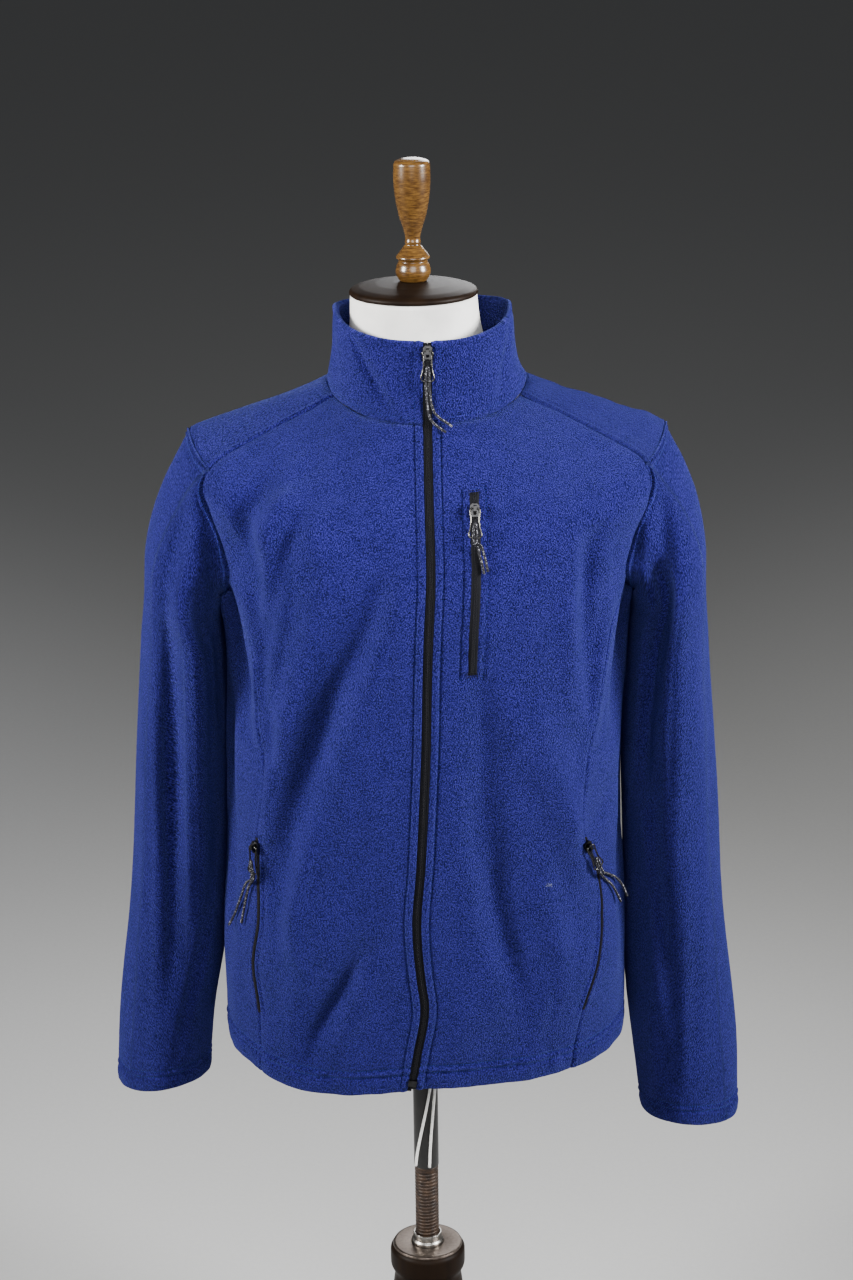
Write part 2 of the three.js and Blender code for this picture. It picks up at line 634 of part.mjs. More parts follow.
function chestTape() {
  const rows = rowsBetween(CHEST.level0, CHEST.level1);
  const grid = (lift) =>
    rows.map((level) => [-1, 0, 1].map((k) => onFront(1, chestAround(level, k * CHEST.half), level, lift)));
  return shell(grid(TAPE_HIGH), grid(TAPE_LOW), false);
}

const HAND = { level0: 0.075, level1: 0.318, half: 3.4 };

function handTape(side) {
  const rows = rowsBetween(HAND.level0, HAND.level1);
  const offset = HAND.half / MM_AROUND;
  const grid = (lift) =>
    rows.map((level) => {
      const seam = princess(side, level);
      return [
        onFront(side, seam - offset, level, lift),
        onFront(side, seam, level, lift).lerp(onSide(side, seam, level, lift), 0.5),
        onSide(side, seam + offset, level, lift),
      ];
    });
  return shell(grid(TAPE_HIGH), grid(TAPE_LOW), false);
}

// Zip hardware, drawn in its own frame: x across the zip, y up it, z out from the cloth
const SLIDER = { width: 9, length: 13, thick: 3.4, shoulder: 7 };
const BRIDGE = { width: 3, length: 9, height: 4.9, hole: 1.6, pivotUp: 1.9, pivotOut: 2.2 };
const PULL = { top: 11, waist: 9.6, bottom: 14, length: 31, wire: 1.7 };
const PIVOT = new THREE.Vector3(0, BRIDGE.pivotUp, SLIDER.thick + BRIDGE.pivotOut);

function toManifold(geometry) {
  const bare = geometry.clone();
  bare.deleteAttribute('normal');
  bare.deleteAttribute('uv');
  const merged = mergeVertices(bare, 1e-4);
  const mesh = new wasm.Mesh({
    numProp: 3,
    vertProperties: Float32Array.from(merged.attributes.position.array),
    triVerts: Uint32Array.from(merged.index.array),
  });
  return new wasm.Manifold(mesh);
}

function fromManifold(manifold) {
  const mesh = manifold.getMesh();
  const geometry = new THREE.BufferGeometry();
  const positions = Float32Array.from(mesh.vertProperties);
  geometry.setAttribute('position', new THREE.Float32BufferAttribute(positions, 3));
  geometry.setIndex(Array.from(mesh.triVerts));
  return geometry;
}

function outline(points) {
  return new THREE.Shape(points.map(([x, y]) => new THREE.Vector2(x, y)));
}

// Shield-shaped slider with an arched bridge that holds the pull
function sliderGeometry() {
  const { width, length, thick, shoulder } = SLIDER;
  const plate = outline([
    [-shoulder / 2, -length / 2],
    [shoulder / 2, -length / 2],
    [width / 2, 0],
    [width / 2, length / 2 - 2],
    [width / 2 - 2, length / 2],
    [-width / 2 + 2, length / 2],
    [-width / 2, length / 2 - 2],
    [-width / 2, 0],
  ]);
  const body = new THREE.ExtrudeGeometry(plate, { depth: thick, bevelEnabled: false });
  const arch = outline([
    [-BRIDGE.length / 2, -0.5],
    [BRIDGE.length / 2, -0.5],
    [BRIDGE.length / 2, BRIDGE.height - 1.2],
    [BRIDGE.length / 2 - 1.2, BRIDGE.height],
    [-BRIDGE.length / 2 + 3, BRIDGE.height],
    [-BRIDGE.length / 2, 1],
  ]);
  const hole = new THREE.Path();
  hole.absarc(BRIDGE.pivotUp, BRIDGE.pivotOut, BRIDGE.hole, 0, 2 * Math.PI, true);
  arch.holes.push(hole);
  const settings = { depth: BRIDGE.width, bevelEnabled: false, curveSegments: 6 };
  const bridge = new THREE.ExtrudeGeometry(arch, settings);
  const turn = new THREE.Matrix4().makeBasis(
    new THREE.Vector3(0, 1, 0),
    new THREE.Vector3(0, 0, 1),
    new THREE.Vector3(1, 0, 0),
  );
  bridge.applyMatrix4(turn).translate(-BRIDGE.width / 2, 0, thick);
  return fromManifold(toManifold(body).add(toManifold(bridge)));
}

// Hourglass wire pull that hangs from the bridge, a flat ring of wire's thickness
function pullGeometry() {
  const { top, waist, bottom, length, wire } = PULL;
  const ring = (inset) => {
    const low = wire / 2 - length + inset;
    return [
      [-top / 2 + 3, wire / 2 - inset],
      [top / 2 - 3, wire / 2 - inset],
      [top / 2 - inset, -3 + inset / 3],
      [waist / 2 - inset, -9],
      [waist / 2 - inset, -17],
      [bottom / 2 - inset, -25],
      [bottom / 2 - 1 - inset, low + 2],
      [bottom / 2 - 4, low],
      [-bottom / 2 + 4, low],
      [-bottom / 2 + 1 + inset, low + 2],
      [-bottom / 2 + inset, -25],
      [-waist / 2 + inset, -17],
      [-waist / 2 + inset, -9],
      [-top / 2 + inset, -3 + inset / 3],
    ];
  };
  const shape = outline(ring(0));
  shape.holes.push(new THREE.Path(ring(wire).map(([x, y]) => new THREE.Vector2(x, y)).reverse()));
  const geometry = new THREE.ExtrudeGeometry(shape, { depth: wire, bevelEnabled: false });
  return geometry.translate(0, 0, -wire / 2);
}

// Frame of a place on a zip: origin on its face, z out of the cloth, y up along the zip
function zipFrame(point, above, out) {
  const z = out.clone().normalize();
  const up = above.clone().sub(point);
  const y = up.sub(z.clone().multiplyScalar(up.dot(z))).normalize();
  const x = new THREE.Vector3().crossVectors(y, z);
  return new THREE.Matrix4().makeBasis(x, y, z).setPosition(point);
}

const SLIDER_LIFT = 0.45; // from the tape to the slider's underside
const FRONT_SLIDER_LEVEL = 0.88; // on the collar
const CHEST_SLIDER_LEVEL = 0.905;
const HAND_SLIDER_LEVEL = 0.306;

function frontZipFrame() {
  const at = (level) => ringPoint(COLLAR_RINGS, 1, 0, level);
  const out = ringNormal(COLLAR_RINGS, 1, 0.01, FRONT_SLIDER_LEVEL);
  out.x = 0;
  const origin = at(FRONT_SLIDER_LEVEL).addScaledVector(out.normalize(), SLIDER_LIFT - TAPE_SUNK);
  return zipFrame(origin, at(FRONT_SLIDER_LEVEL + 0.05), out);
}

// The retainer box closes the front zip at the hem
const RETAINER = { width: 8.6, height: 7, thick: 3, level: 0.008 };
function retainerGeometry() {
  const at = (level) => ringPoint(RINGS, 1, 0, level);
  const out = ringNormal(RINGS, 1, 0.01, RETAINER.level);
  out.x = 0;
  const lift = SLIDER_LIFT - TAPE_SUNK + RETAINER.thick / 2;
  const origin = at(RETAINER.level).addScaledVector(out.normalize(), lift);
  const frame = zipFrame(origin, at(RETAINER.level + 0.02), out);
  return new THREE.BoxGeometry(RETAINER.width, RETAINER.height, RETAINER.thick).applyMatrix4(frame);
}

function chestZipFrame() {
  const at = (level, lift) => onFront(1, chestAround(level), level, lift);
  const out = ringNormal(RINGS, 1, chestAround(CHEST_SLIDER_LEVEL), CHEST_SLIDER_LEVEL);
  const origin = at(CHEST_SLIDER_LEVEL, TAPE_HIGH + SLIDER_LIFT);
  return zipFrame(origin, at(CHEST_SLIDER_LEVEL + 0.02, TAPE_HIGH + SLIDER_LIFT), out);
}

function handZipFrame(side) {
  const at = (level, lift) => onFront(side, princess(side, level), level, lift);
  const out = ringNormal(RINGS, side, princess(side, HAND_SLIDER_LEVEL), HAND_SLIDER_LEVEL);
  const origin = at(HAND_SLIDER_LEVEL, TAPE_HIGH + SLIDER_LIFT);
  const below = at(HAND_SLIDER_LEVEL - 0.045, TAPE_HIGH + SLIDER_LIFT);
  return zipFrame(origin, origin.clone().multiplyScalar(2).sub(below), out);
}

const ZIPS = {
  front: frontZipFrame(),
  chest: chestZipFrame(),
  hand_right: handZipFrame(1),
  hand_left: handZipFrame(-1),
};

// A cord or thin rod along a smooth line
function tube(points, radius, sides, steps) {
  const section = new THREE.Shape();
  for (let i = 0; i < sides; i += 1) {
    const angle = (2 * Math.PI * i) / sides;
    const corner = [radius * Math.cos(angle), radius * Math.sin(angle)];
    if (i === 0) section.moveTo(...corner);
    else section.lineTo(...corner);
  }
  const line = new THREE.CatmullRomCurve3(points.map(([x, y, z]) => new THREE.Vector3(x, y, z)));
  return new THREE.ExtrudeGeometry(section, { steps, extrudePath: line, bevelEnabled: false });
}

// A turned piece from its profile of radius and height
function turned(profile, segments) {
  return new THREE.LatheGeometry(profile.map(([r, z]) => new THREE.Vector2(r, z)), segments)
    .rotateX(Math.PI / 2);
}

// The profile of a plain round bar
const bar = (radius, low, high) => [[0, low], [radius, low], [radius, high], [0, high]];

// The torso under the cloth: the body's rings, set in and smooth, then the neck
function torso() {
  const spread = [];
  for (let c = 0; c < FORM_COLUMNS; c += 1) spread.push([1, (c + 0.5) / FORM_COLUMNS]);
  for (let c = 0; c < FORM_COLUMNS; c += 1) spread.push([-1, 1 - (c + 0.5) / FORM_COLUMNS]);
  const set = (side, around, level) => {
    const sideways = Math.sin(Math.PI * around) ** 4;
    const front = curve(FORM_INSET, 'level', 'front', level);
    const inset = lerp(front, curve(FORM_INSET, 'level', 'side', level), sideways);
    const normal = ringNormal(RINGS, side, around, level);
    return ringPoint(RINGS, side, around, level).addScaledVector(normal, -inset);
  };
  const bottom = spread.map(([side, around]) => {
    const p = set(side, around, 0.045);
    p.z = FORM_BOTTOM;
    return p;
  });
  const body = FORM_LEVELS.map((level) => spread.map(([side, around]) => set(side, around, level)));
  const neck = FORM_NECK.map((row) =>
    spread.map(([side, around]) => {
      const angle = Math.PI * around;
      const depth = around < 0.5 ? row.front : row.back;
      const x = row.shift + side * row.width * Math.sin(angle);
      return new THREE.Vector3(x, -depth * Math.cos(angle), row.z);
    }),
  );
  return stack([bottom, ...body, ...neck]);
}

const FINIAL = [
  [0, CAP_TOP + FACE_GAP],
  [13.2, CAP_TOP + FACE_GAP],
  [14.6, 1353.6],
  [17.2, 1359],
  [17.4, 1363],
  [15.8, 1368.5],
  [13.8, 1371.3],
  [14.2, 1372.6],
  [16.8, 1374.2],
  [16.6, 1376],
  [13.4, 1380],
  [9.6, 1385],
  [7.2, 1387.6],
  [8.1, 1390],
  [7.2, 1393],
  [7.6, 1396.5],
  [9.9, 1404.8],
  [13.1, 1414.2],
  [16, 1428],
  [17.4, 1438],
  [18.3, 1452],
  [17.8, 1466.5],
  [16.2, 1469],
  [9, 1471.6],
  [0, 1472],
];

const CAP = [
  [0, CAP_BOTTOM],
  [CAP_RADIUS - 2, CAP_BOTTOM],
  [CAP_RADIUS, CAP_BOTTOM + 1.6],
  [CAP_RADIUS, CAP_BOTTOM + 4],
  [CAP_RADIUS - 2, CAP_BOTTOM + 6.4],
  [CAP_RADIUS - 10, CAP_BOTTOM + 9],
  [CAP_RADIUS - 26, CAP_BOTTOM + 11.8],
  [CAP_RADIUS - 43, CAP_TOP - 0.2],
  [0, CAP_TOP],
];

const COLUMN = [
  [0, BASE_HEIGHT + FACE_GAP],
  [58, BASE_HEIGHT + FACE_GAP],
  [60, 36],
  [54, 46],
  [40, 54],
  [34, 66],
  [36, 90],
  [41, 120],
  [43, 160],
  [42, 200],
  [38, 232],
  [36, 246],
  [COLUMN_RADIUS, 254],
  [COLUMN_RADIUS, COLUMN_TOP - 5],
  [COLUMN_RADIUS - 5, COLUMN_TOP],
  [ROD_HOLE, COLUMN_TOP],
  [ROD_HOLE, HOLE_BOTTOM],
  [0, HOLE_BOTTOM],
];

const BASE = [
  [0, 0],
  [BASE_RADIUS - 3, 0],
  [BASE_RADIUS, 4],
  [BASE_RADIUS, 14],
  [BASE_RADIUS - 12, 22],
  [BASE_RADIUS - 50, BASE_HEIGHT],
  [0, BASE_HEIGHT],
];

const RING = [
  [ROD_HOLE, COLUMN_TOP + FACE_GAP],
  [17.5, COLUMN_TOP + FACE_GAP],
  [17.5, 284],
  [15.6, 286],
  [15.6, RING_TOP],
  [ROD_HOLE, RING_TOP],
  [ROD_HOLE, COLUMN_TOP + FACE_GAP],
];

// Two ends of cord hang from each pull. Their points run on from the pull's low end.
const CORD_RADIUS = 1.3;
const CORD_SPREAD = 1.55; // from the pull's middle to each end's middle
const PULL_CORDS = {
  front: {
    a: [
      [11.1, -80, 1258], [12.1, -79.8, 1245], [13.9, -81, 1234],
      [18.2, -82.8, 1227.5], [24, -84, 1223], [29.7, -84.8, 1219],
    ],
    b: [
      [14.6, -80, 1258], [16, -80, 1246], [19.3, -81.8, 1237.5],
      [25, -82.6, 1231.7], [30.8, -83, 1228], [35.6, -83.5, 1224.5],
    ],
  },
  chest: {
    a: [[58.4, -129.6, 1116], [60.4, -130.6, 1108.5], [62.4, -132.4, 1101], [64.6, -133.2, 1090]],
    b: [[62, -129.6, 1117], [64.2, -130.2, 1110], [66.2, -131.8, 1102.5], [68.2, -132.6, 1092]],
  },
  hand_right: {
    a: [[187.5, -74, 744], [196, -62, 731], [201.5, -55, 719], [206, -52, 708]],
    b: [[191, -69, 747], [200.5, -54, 736], [208, -46, 724], [213, -45, 711]],
  },
  hand_left: {
    a: [[-180.6, -79.5, 746], [-187.5, -70, 725], [-195, -60, 703], [-201.5, -52, 688]],
    b: [[-176.7, -84, 746], [-181.5, -78.5, 727], [-184.5, -75, 712], [-187, -72, 699]],
  },
};
const DRAWSTRING_RADIUS = 1.5;
const DRAWSTRINGS = {
  right: [
    [17, -17, 574.6],
    [17, -19, 560],
    [15, -20.5, 540],
    [13, -20, 515],
    [11, -19, 485],
    [8, -18.5, 450],
    [5.5, -18.5, 420],
    [4, -19, 396],
    [3.4, -19.6, 382],
  ],
  left: [
    [10, -18, 574.6],
    [10.5, -20, 560],
    [10.5, -21, 540],
    [9, -21.5, 515],
    [6, -21.5, 485],
    [0, -21.5, 450],
    [-6, -20.5, 420],
    [-10, -19, 398],
    [-11.6, -18.6, 384],
  ],
};

const PALETTE = {
  fleece: [0x2a3f9a, 0.95, 0],
  tape: [0x0d0e14, 0.8, 0],
  metal: [0x77787c, 0.35, 0.9],
  cord: [0x17171c, 0.85, 0],
  cover: [0xe6e2da, 0.85, 0],
  darkWood: [0x24130d, 0.3, 0],
  wood: [0x6d3a1c, 0.35, 0],
  rod: [0x3b2418, 0.45, 0.5],
  post: [0x15130f, 0.4, 0.3],
  steel: [0x8a8c8e, 0.3, 0.9],
};

const group = new THREE.Group();
function add(name, geometry, finish) {
  const [color, roughness, metalness] = PALETTE[finish];
  const mesh = new THREE.Mesh(geometry, new THREE.MeshStandardMaterial({ color, roughness, metalness }));
  mesh.name = name;
  group.add(mesh);
}

for (const side of [1, -1]) {
  add(`front_${sideName(side)}`, frontPanel(side), 'fleece');
  add(`side_${sideName(side)}`, sidePanel(side), 'fleece');
  add(`sleeve_${sideName(side)}`, sleeve(side), 'fleece');
  add(`zip_tape_${sideName(side)}`, zipTape(side), 'tape');
  add(`hand_pocket_tape_${sideName(side)}`, handTape(side), 'tape');
}
add('back', backPanel(), 'fleece');
add('collar', collar(), 'fleece');
add('chest_pocket_tape', chestTape(), 'tape');

for (const [name, frame] of Object.entries(ZIPS)) {
  add(`${name}_slider`, sliderGeometry().applyMatrix4(frame), 'metal');
  const hung = frame.clone().multiply(new THREE.Matrix4().setPosition(PIVOT));
  add(`${name}_pull`, pullGeometry().applyMatrix4(hung), 'metal');
  for (const [end, route] of Object.entries(PULL_CORDS[name])) {
    const across = end === 'a' ? -CORD_SPREAD : CORD_SPREAD;
    const low = PULL.wire / 2 - PULL.length - FACE_GAP;
    const below = (y) => new THREE.Vector3(across, y, 0).applyMatrix4(hung).toArray();
    const line = [below(low), below(low - 3), ...route];
    add(`${name}_pull_cord_${end}`, tube(line, CORD_RADIUS, 8, 7), 'cord');
  }
}

add('zip_retainer_box', retainerGeometry(), 'metal');

add('form_torso', torso(), 'cover');
add('neck_cap', turned(CAP, 28), 'darkWood');
add('finial', turned(FINIAL, 14), 'wood');
add('form_post', turned(bar(POST_RADIUS, POST_BOTTOM, FORM_BOTTOM - FACE_GAP), 16), 'post');
add('threaded_rod', turned(bar(ROD_RADIUS, ROD_BOTTOM, POST_BOTTOM - FACE_GAP), 16), 'rod');
add('rod_collar', turned(RING, 16), 'steel');
add('stand_column', turned(COLUMN, 20), 'darkWood');
add('stand_base', turned(BASE, 36), 'darkWood');
for (const [name, route] of Object.entries(DRAWSTRINGS)) {
  add(`drawstring_${name}`, tube(route, DRAWSTRING_RADIUS, 8, 14), 'cover');
}

export default group;
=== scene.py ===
"""Fleece zip jacket on a limbless dress form: cloth, zips, cords, form and stand."""

import json

import bmesh
import bpy
import numpy as np
from bpy.props import FloatProperty, FloatVectorProperty, IntProperty, PointerProperty
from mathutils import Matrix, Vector


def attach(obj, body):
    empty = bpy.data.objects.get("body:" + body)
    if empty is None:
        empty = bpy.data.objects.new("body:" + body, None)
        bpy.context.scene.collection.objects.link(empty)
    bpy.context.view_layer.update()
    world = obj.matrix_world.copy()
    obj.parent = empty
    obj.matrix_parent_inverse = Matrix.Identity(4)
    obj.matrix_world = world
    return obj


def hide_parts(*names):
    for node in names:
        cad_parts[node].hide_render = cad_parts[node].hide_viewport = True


bl_info = {
    "name": "Fleece zip jacket",
    "version": (1, 0, 0),
    "blender": (4, 5, 0),
    "location": "3D View > Sidebar > Jacket",
    "description": "A fleece zip jacket with its dress form and stand",
    "category": "Object",
}

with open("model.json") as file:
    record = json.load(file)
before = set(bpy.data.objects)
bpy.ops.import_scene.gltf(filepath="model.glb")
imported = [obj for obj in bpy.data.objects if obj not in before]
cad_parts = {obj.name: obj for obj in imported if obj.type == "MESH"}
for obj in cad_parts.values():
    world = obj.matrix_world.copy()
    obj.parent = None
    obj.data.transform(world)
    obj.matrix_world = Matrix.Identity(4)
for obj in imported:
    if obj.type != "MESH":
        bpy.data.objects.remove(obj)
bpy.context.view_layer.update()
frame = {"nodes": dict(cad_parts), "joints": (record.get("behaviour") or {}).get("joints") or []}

# Every shape below is worked out in millimetres and stored in metres.
MM = 0.001
HALF_ROUND = 540.0  # half a turn round the jacket's body
WALL, HEM_WALL, COLLAR_WALL = 2.6, 4.2, 4.4  # thickness of the cloth
FRONT_EDGE, TAPE_EDGE = 5.0, 4.6  # from the front zip's middle
TAPE_SUNK = 0.9
WELT = 6.2  # width of the raised seam allowances
TUBE_UP = (0.31, -0.82, 0.48)  # no cord or wire runs along this direction

# Folds that the hung cloth adds to the cut form, mm: height, width, and the x and z of points
# down the fold's line, seen from the front.
DRAPE = (
    (-7, 12, ((-149, 1175), (-166, 1134), (-177, 1079))),
    (6, 13, ((-122, 1176), (-147, 1129), (-156, 1056))),
    (-8, 13, ((-112, 1157), (-138, 1096), (-156, 1017), (-161, 961), (-155, 896))),
    (6, 12, ((-92, 1139), (-122, 1059), (-137, 975), (-140, 902))),
    (-5.5, 13, ((-39, 1073), (-50, 1025), (-81, 968), (-111, 893), (-132, 820), (-145, 759))),
    (4, 14, ((-24, 1066), (-34, 997), (-62, 939), (-95, 864), (-117, 788), (-133, 674), (-143, 590))),
    (-2, 8, ((-25, 1047), (-31, 987), (-28, 918))),
    (3.6, 11, ((-76, 834), (-102, 755), (-119, 677), (-136, 582))),
    (-3.2, 11, ((-90, 811), (-115, 741), (-127, 668))),
    (-4, 10, ((-64, 680), (-95, 624), (-126, 577))),
    (2.4, 11, ((-39, 680), (-74, 624), (-97, 576))),
    (-1.8, 10, ((-27, 857), (-43, 770), (-51, 693))),
    (-5.5, 14, ((57, 962), (54, 887), (60, 800), (74, 714), (108, 627))),
    (4, 16, ((77, 971), (112, 884), (142, 797))),
    (4, 14, ((119, 773), (139, 684), (153, 608))),
    (-2.4, 12, ((99, 797), (110, 717), (136, 621))),
    (-2.4, 8, ((165, 1138), (164, 1042), (160, 934))),
    (2.2, 9, ((152, 1115), (148, 1016), (144, 922))),
    (2.4, 10, ((188, 1068), (183, 985), (171, 902))),
    (2.6, 10, ((179, 894), (162, 847), (150, 791))),
    (-2.2, 9, ((195, 856), (183, 821), (168, 791))),
    (-1.8, 12, ((18, 1066), (27, 965), (18, 857), (28, 749))),
    (2.2, 13, ((-160, 885), (-165, 841), (-162, 789))),
    (-9, 15, ((-226, 1160), (-236, 1089), (-241, 987), (-252, 868), (-252, 766), (-250, 651), (-248, 568))),
    (8, 13, ((-222, 1173), (-216, 1110), (-218, 1022), (-218, 922), (-218, 832))),
    (-2.5, 7, ((-209, 1169), (-207, 1129), (-206, 1084))),
    (3, 9, ((-208, 1145), (-194, 1086), (-203, 1002))),
    (2.5, 12, ((-225, 787), (-226, 679), (-232, 586))),
    (-6.5, 11, ((242, 1170), (243, 1104), (243, 1017), (238, 925))),
    (6, 12, ((231, 1150), (228, 1081), (230, 1015))),
    (3.5, 14, ((275, 1132), (270, 1022), (268, 888), (263, 777), (273, 631))),
    (-3, 12, ((244, 889), (243, 792), (243, 700), (259, 611))),
)
# Points down such a line, its reach in widths, and the shares of it at which its ends hold
DRAPE_POINTS, DRAPE_REACH, DRAPE_ENDS = 48, 3, (0.03, 0.97)
RIDGE_ROUNDING = 0.12  # how softly the shoulder line turns from front to back
SEAM_S = 0.00035  # gap beside a seam, as a share of the half turn
SEAM_T = 0.0003  # gap above and below a seam, as a level
SIDE_NAMES = {1: "right", -1: "left"}


def table(columns, rows):
    """Rows of numbers with their columns named, as arrays."""
    values = np.array(rows, float).T
    return dict(zip(columns.split(), values))


# Rings of the body and of the collar from low to high, mm: half width, depth in front and
# behind, heights at the front, side and back, how square the ring is, and where its middle lies.
RINGS = table(
    "level width front back zFront zSide zBack square shift",
    [
        [0.0, 211, 126, 128, 533, 549, 541, 2.3, 1],
        [0.13, 212, 130, 131, 650, 655, 652, 2.3, 2],
        [0.27, 206, 135, 131, 762, 765, 764, 2.3, 3],
        [0.41, 204, 139, 130, 870, 873, 872, 2.3, 5],
        [0.54, 205, 141, 131, 970, 975, 973, 2.3, 8],
        [0.62, 209, 141, 132, 1035, 1040, 1038, 2.3, 9],
        [0.74, 223, 134, 130, 1085, 1122, 1103, 2.25, 10],
        [0.84, 242, 124, 121, 1118, 1197, 1148, 2.2, 11],
        [0.88, 231, 118, 115, 1133, 1210, 1165, 2.2, 12],
        [0.93, 178, 106, 105, 1160, 1229, 1200, 2.15, 12],
        [0.965, 138, 93, 93, 1190, 1241, 1230, 2.1, 12],
        [1.0, 99, 80, 73, 1225, 1254, 1262, 2.1, 12],
    ],
)
COLLAR_RINGS = table(
    "level width front back zFront zSide zBack square shift",
    [
        [0.0, 99, 80, 73, 1225.5, 1254.5, 1262.5, 2.1, 12],
        [0.2, 95, 78, 73, 1240, 1266, 1273, 2.15, 9.5],
        [0.5, 91, 75, 73, 1264, 1290, 1291, 2.2, 9],
        [0.8, 89.5, 72, 74, 1289, 1314, 1311, 2.3, 9],
        [1.0, 87.5, 70, 74, 1304, 1327, 1323, 2.3, 8.5],
    ],
)
# The zip's middle up the body, and the curved front seams as shares of the half turn
ZIP_LINE = table(
    "level x",
    [
        [0.0, -14], [0.04, -8], [0.105, 1], [0.135, -2], [0.215, -6], [0.295, -1],
        [0.385, 3], [0.465, 6], [0.55, 8], [0.67, 12], [1.0, 12],
    ],
)
PRINCESS = table(
    "level left right",
    [
        [0.0, 0.28, 0.25],
        [0.075, 0.288, 0.268],
        [0.13, 0.303, 0.31],
        [0.2, 0.287, 0.328],
        [0.26, 0.292, 0.315],
        [0.32, 0.293, 0.27],
        [0.4, 0.272, 0.274],
        [0.48, 0.297, 0.29],
        [0.58, 0.3, 0.318],
        [0.6556, 0.376, 0.376],
    ],
)
# Armhole: its levels, the turn at its tip, and how far it opens to the front and the back
ARM_BOTTOM, ARM_TOP, ARM_TIP = 0.625, 0.87, 0.36
ARM_FRONT, ARM_BACK, ARM_LOW, ARM_BACK_ROUND = 0.148, 0.13, 0.3, 0.55
SIDE_TOP_SHARE = 0.12

# Main folds: side, around and level at both ends, bend, half width, height
FOLDS = [
    [-1, 0.252, 0.93, 0.295, 0.6, -0.01, 20, -5],
    [-1, 0.2, 0.93, 0.308, 0.5, -0.02, 20, 5],
    [-1, 0.148, 0.83, 0.26, 0.42, 0, 20, -5],
    [-1, 0.18, 0.62, 0.276, 0.3, 0, 24, 6],
    [-1, 0.044, 0.85, 0.24, 0.22, -0.012, 34, -9],
    [-1, 0.16, 0.36, 0.2, 0.14, 0.01, 22, 6],
    [-1, 0.07, 0.2, 0.172, 0.02, 0, 20, -6],
    [1, 0.22, 0.82, 0.264, 0.56, 0, 18, -4],
    [1, 0.2, 0.66, 0.26, 0.46, 0, 20, 4],
    [1, 0.072, 0.6, 0.16, 0.03, -0.02, 28, -8],
    [1, 0.15, 0.53, 0.3, 0.2, 0, 30, 8],
    [-1, 0.44, 0.52, 0.4, 0.1, 0, 24, -7],
    [1, 0.47, 0.5, 0.43, 0.08, 0, 24, -6],
    [-1, 0.7, 0.76, 0.8, 0.34, 0.01, 30, -8],
    [1, 0.71, 0.78, 0.82, 0.4, 0.01, 30, -7],
    [-1, 0.66, 0.46, 0.7, 0.06, 0, 26, -6],
    [1, 0.64, 0.5, 0.69, 0.08, 0, 26, -7],
    [-1, 0.88, 0.62, 0.84, 0.1, 0, 34, 6],
    [1, 0.9, 0.58, 0.86, 0.08, 0, 34, 5],
    [-1, 0.304, 0.66, 0.294, 0.44, 0, 17, 5],
    [-1, 0.392, 0.66, 0.362, 0.45, 0, 27, -12],
    [1, 0.318, 0.66, 0.292, 0.44, 0, 16, 4],
    [1, 0.4, 0.66, 0.375, 0.42, 0, 24, -8],
]

# Finer creases on the folds: side, half width, height, then around and level down the crease
CREASES = [
    (-1, 13, -2.2, [(0.25, 0.93), (0.232, 0.848), (0.268, 0.756), (0.3, 0.668), (0.288, 0.6)]),
    (-1, 13, 2.0, [(0.216, 0.94), (0.184, 0.852), (0.22, 0.752), (0.256, 0.648), (0.308, 0.5)]),
    (-1, 12, -2.4, [(0.148, 0.8), (0.188, 0.716), (0.216, 0.608), (0.26, 0.508), (0.248, 0.42)]),
    (-1, 12, 2.2, [(0.192, 0.6), (0.22, 0.52), (0.232, 0.464), (0.26, 0.392), (0.276, 0.32)]),
    (-1, 17, -2.6, [(0.044, 0.83), (0.072, 0.62), (0.132, 0.528), (0.18, 0.388), (0.232, 0.24)]),
    (-1, 12, 2.0, [(0.16, 0.33), (0.196, 0.24), (0.2, 0.16)]),
    (-1, 9, -2.6, [(0.07, 0.18), (0.104, 0.128), (0.14, 0.096), (0.172, 0.03)]),
    (-1, 10, 1.6, [(0.05, 0.16), (0.08, 0.1), (0.11, 0.06), (0.13, 0.02)]),
    (1, 12, -1.8, [(0.22, 0.81), (0.264, 0.57)]),
    (1, 12, 1.6, [(0.26, 0.79), (0.32, 0.6)]),
    (1, 12, 1.6, [(0.21, 0.65), (0.236, 0.572), (0.26, 0.48)]),
    (1, 14, -2.4, [(0.072, 0.58), (0.084, 0.432), (0.104, 0.3), (0.124, 0.144), (0.16, 0.04)]),
    (1, 15, 2.0, [(0.152, 0.52), (0.184, 0.444), (0.22, 0.372), (0.256, 0.32), (0.3, 0.22)]),
    (1, 9, -1.6, [(0.19, 0.16), (0.2, 0.1), (0.185, 0.03)]),
    (-1, 12, -2.0, [(0.74, 0.7), (0.78, 0.5), (0.8, 0.36)]),
    (1, 12, -2.0, [(0.75, 0.72), (0.79, 0.52), (0.82, 0.4)]),
    (-1, 12, 1.8, [(0.66, 0.72), (0.7, 0.55), (0.74, 0.36)]),
    (1, 12, 1.8, [(0.66, 0.7), (0.71, 0.54), (0.75, 0.36)]),
    (-1, 14, -1.8, [(0.93, 0.5), (0.92, 0.3), (0.9, 0.06)]),
    (1, 14, -1.8, [(0.96, 0.46), (0.95, 0.26), (0.94, 0.05)]),
]
# The hem hangs lower in the left front: place, width, drop in mm, and the level where it ends
HEM_SAG_AROUND, HEM_SAG_WIDTH, HEM_SAG_DROP, HEM_SAG_FADES = 0.15, 0.2, 11.0, 0.2

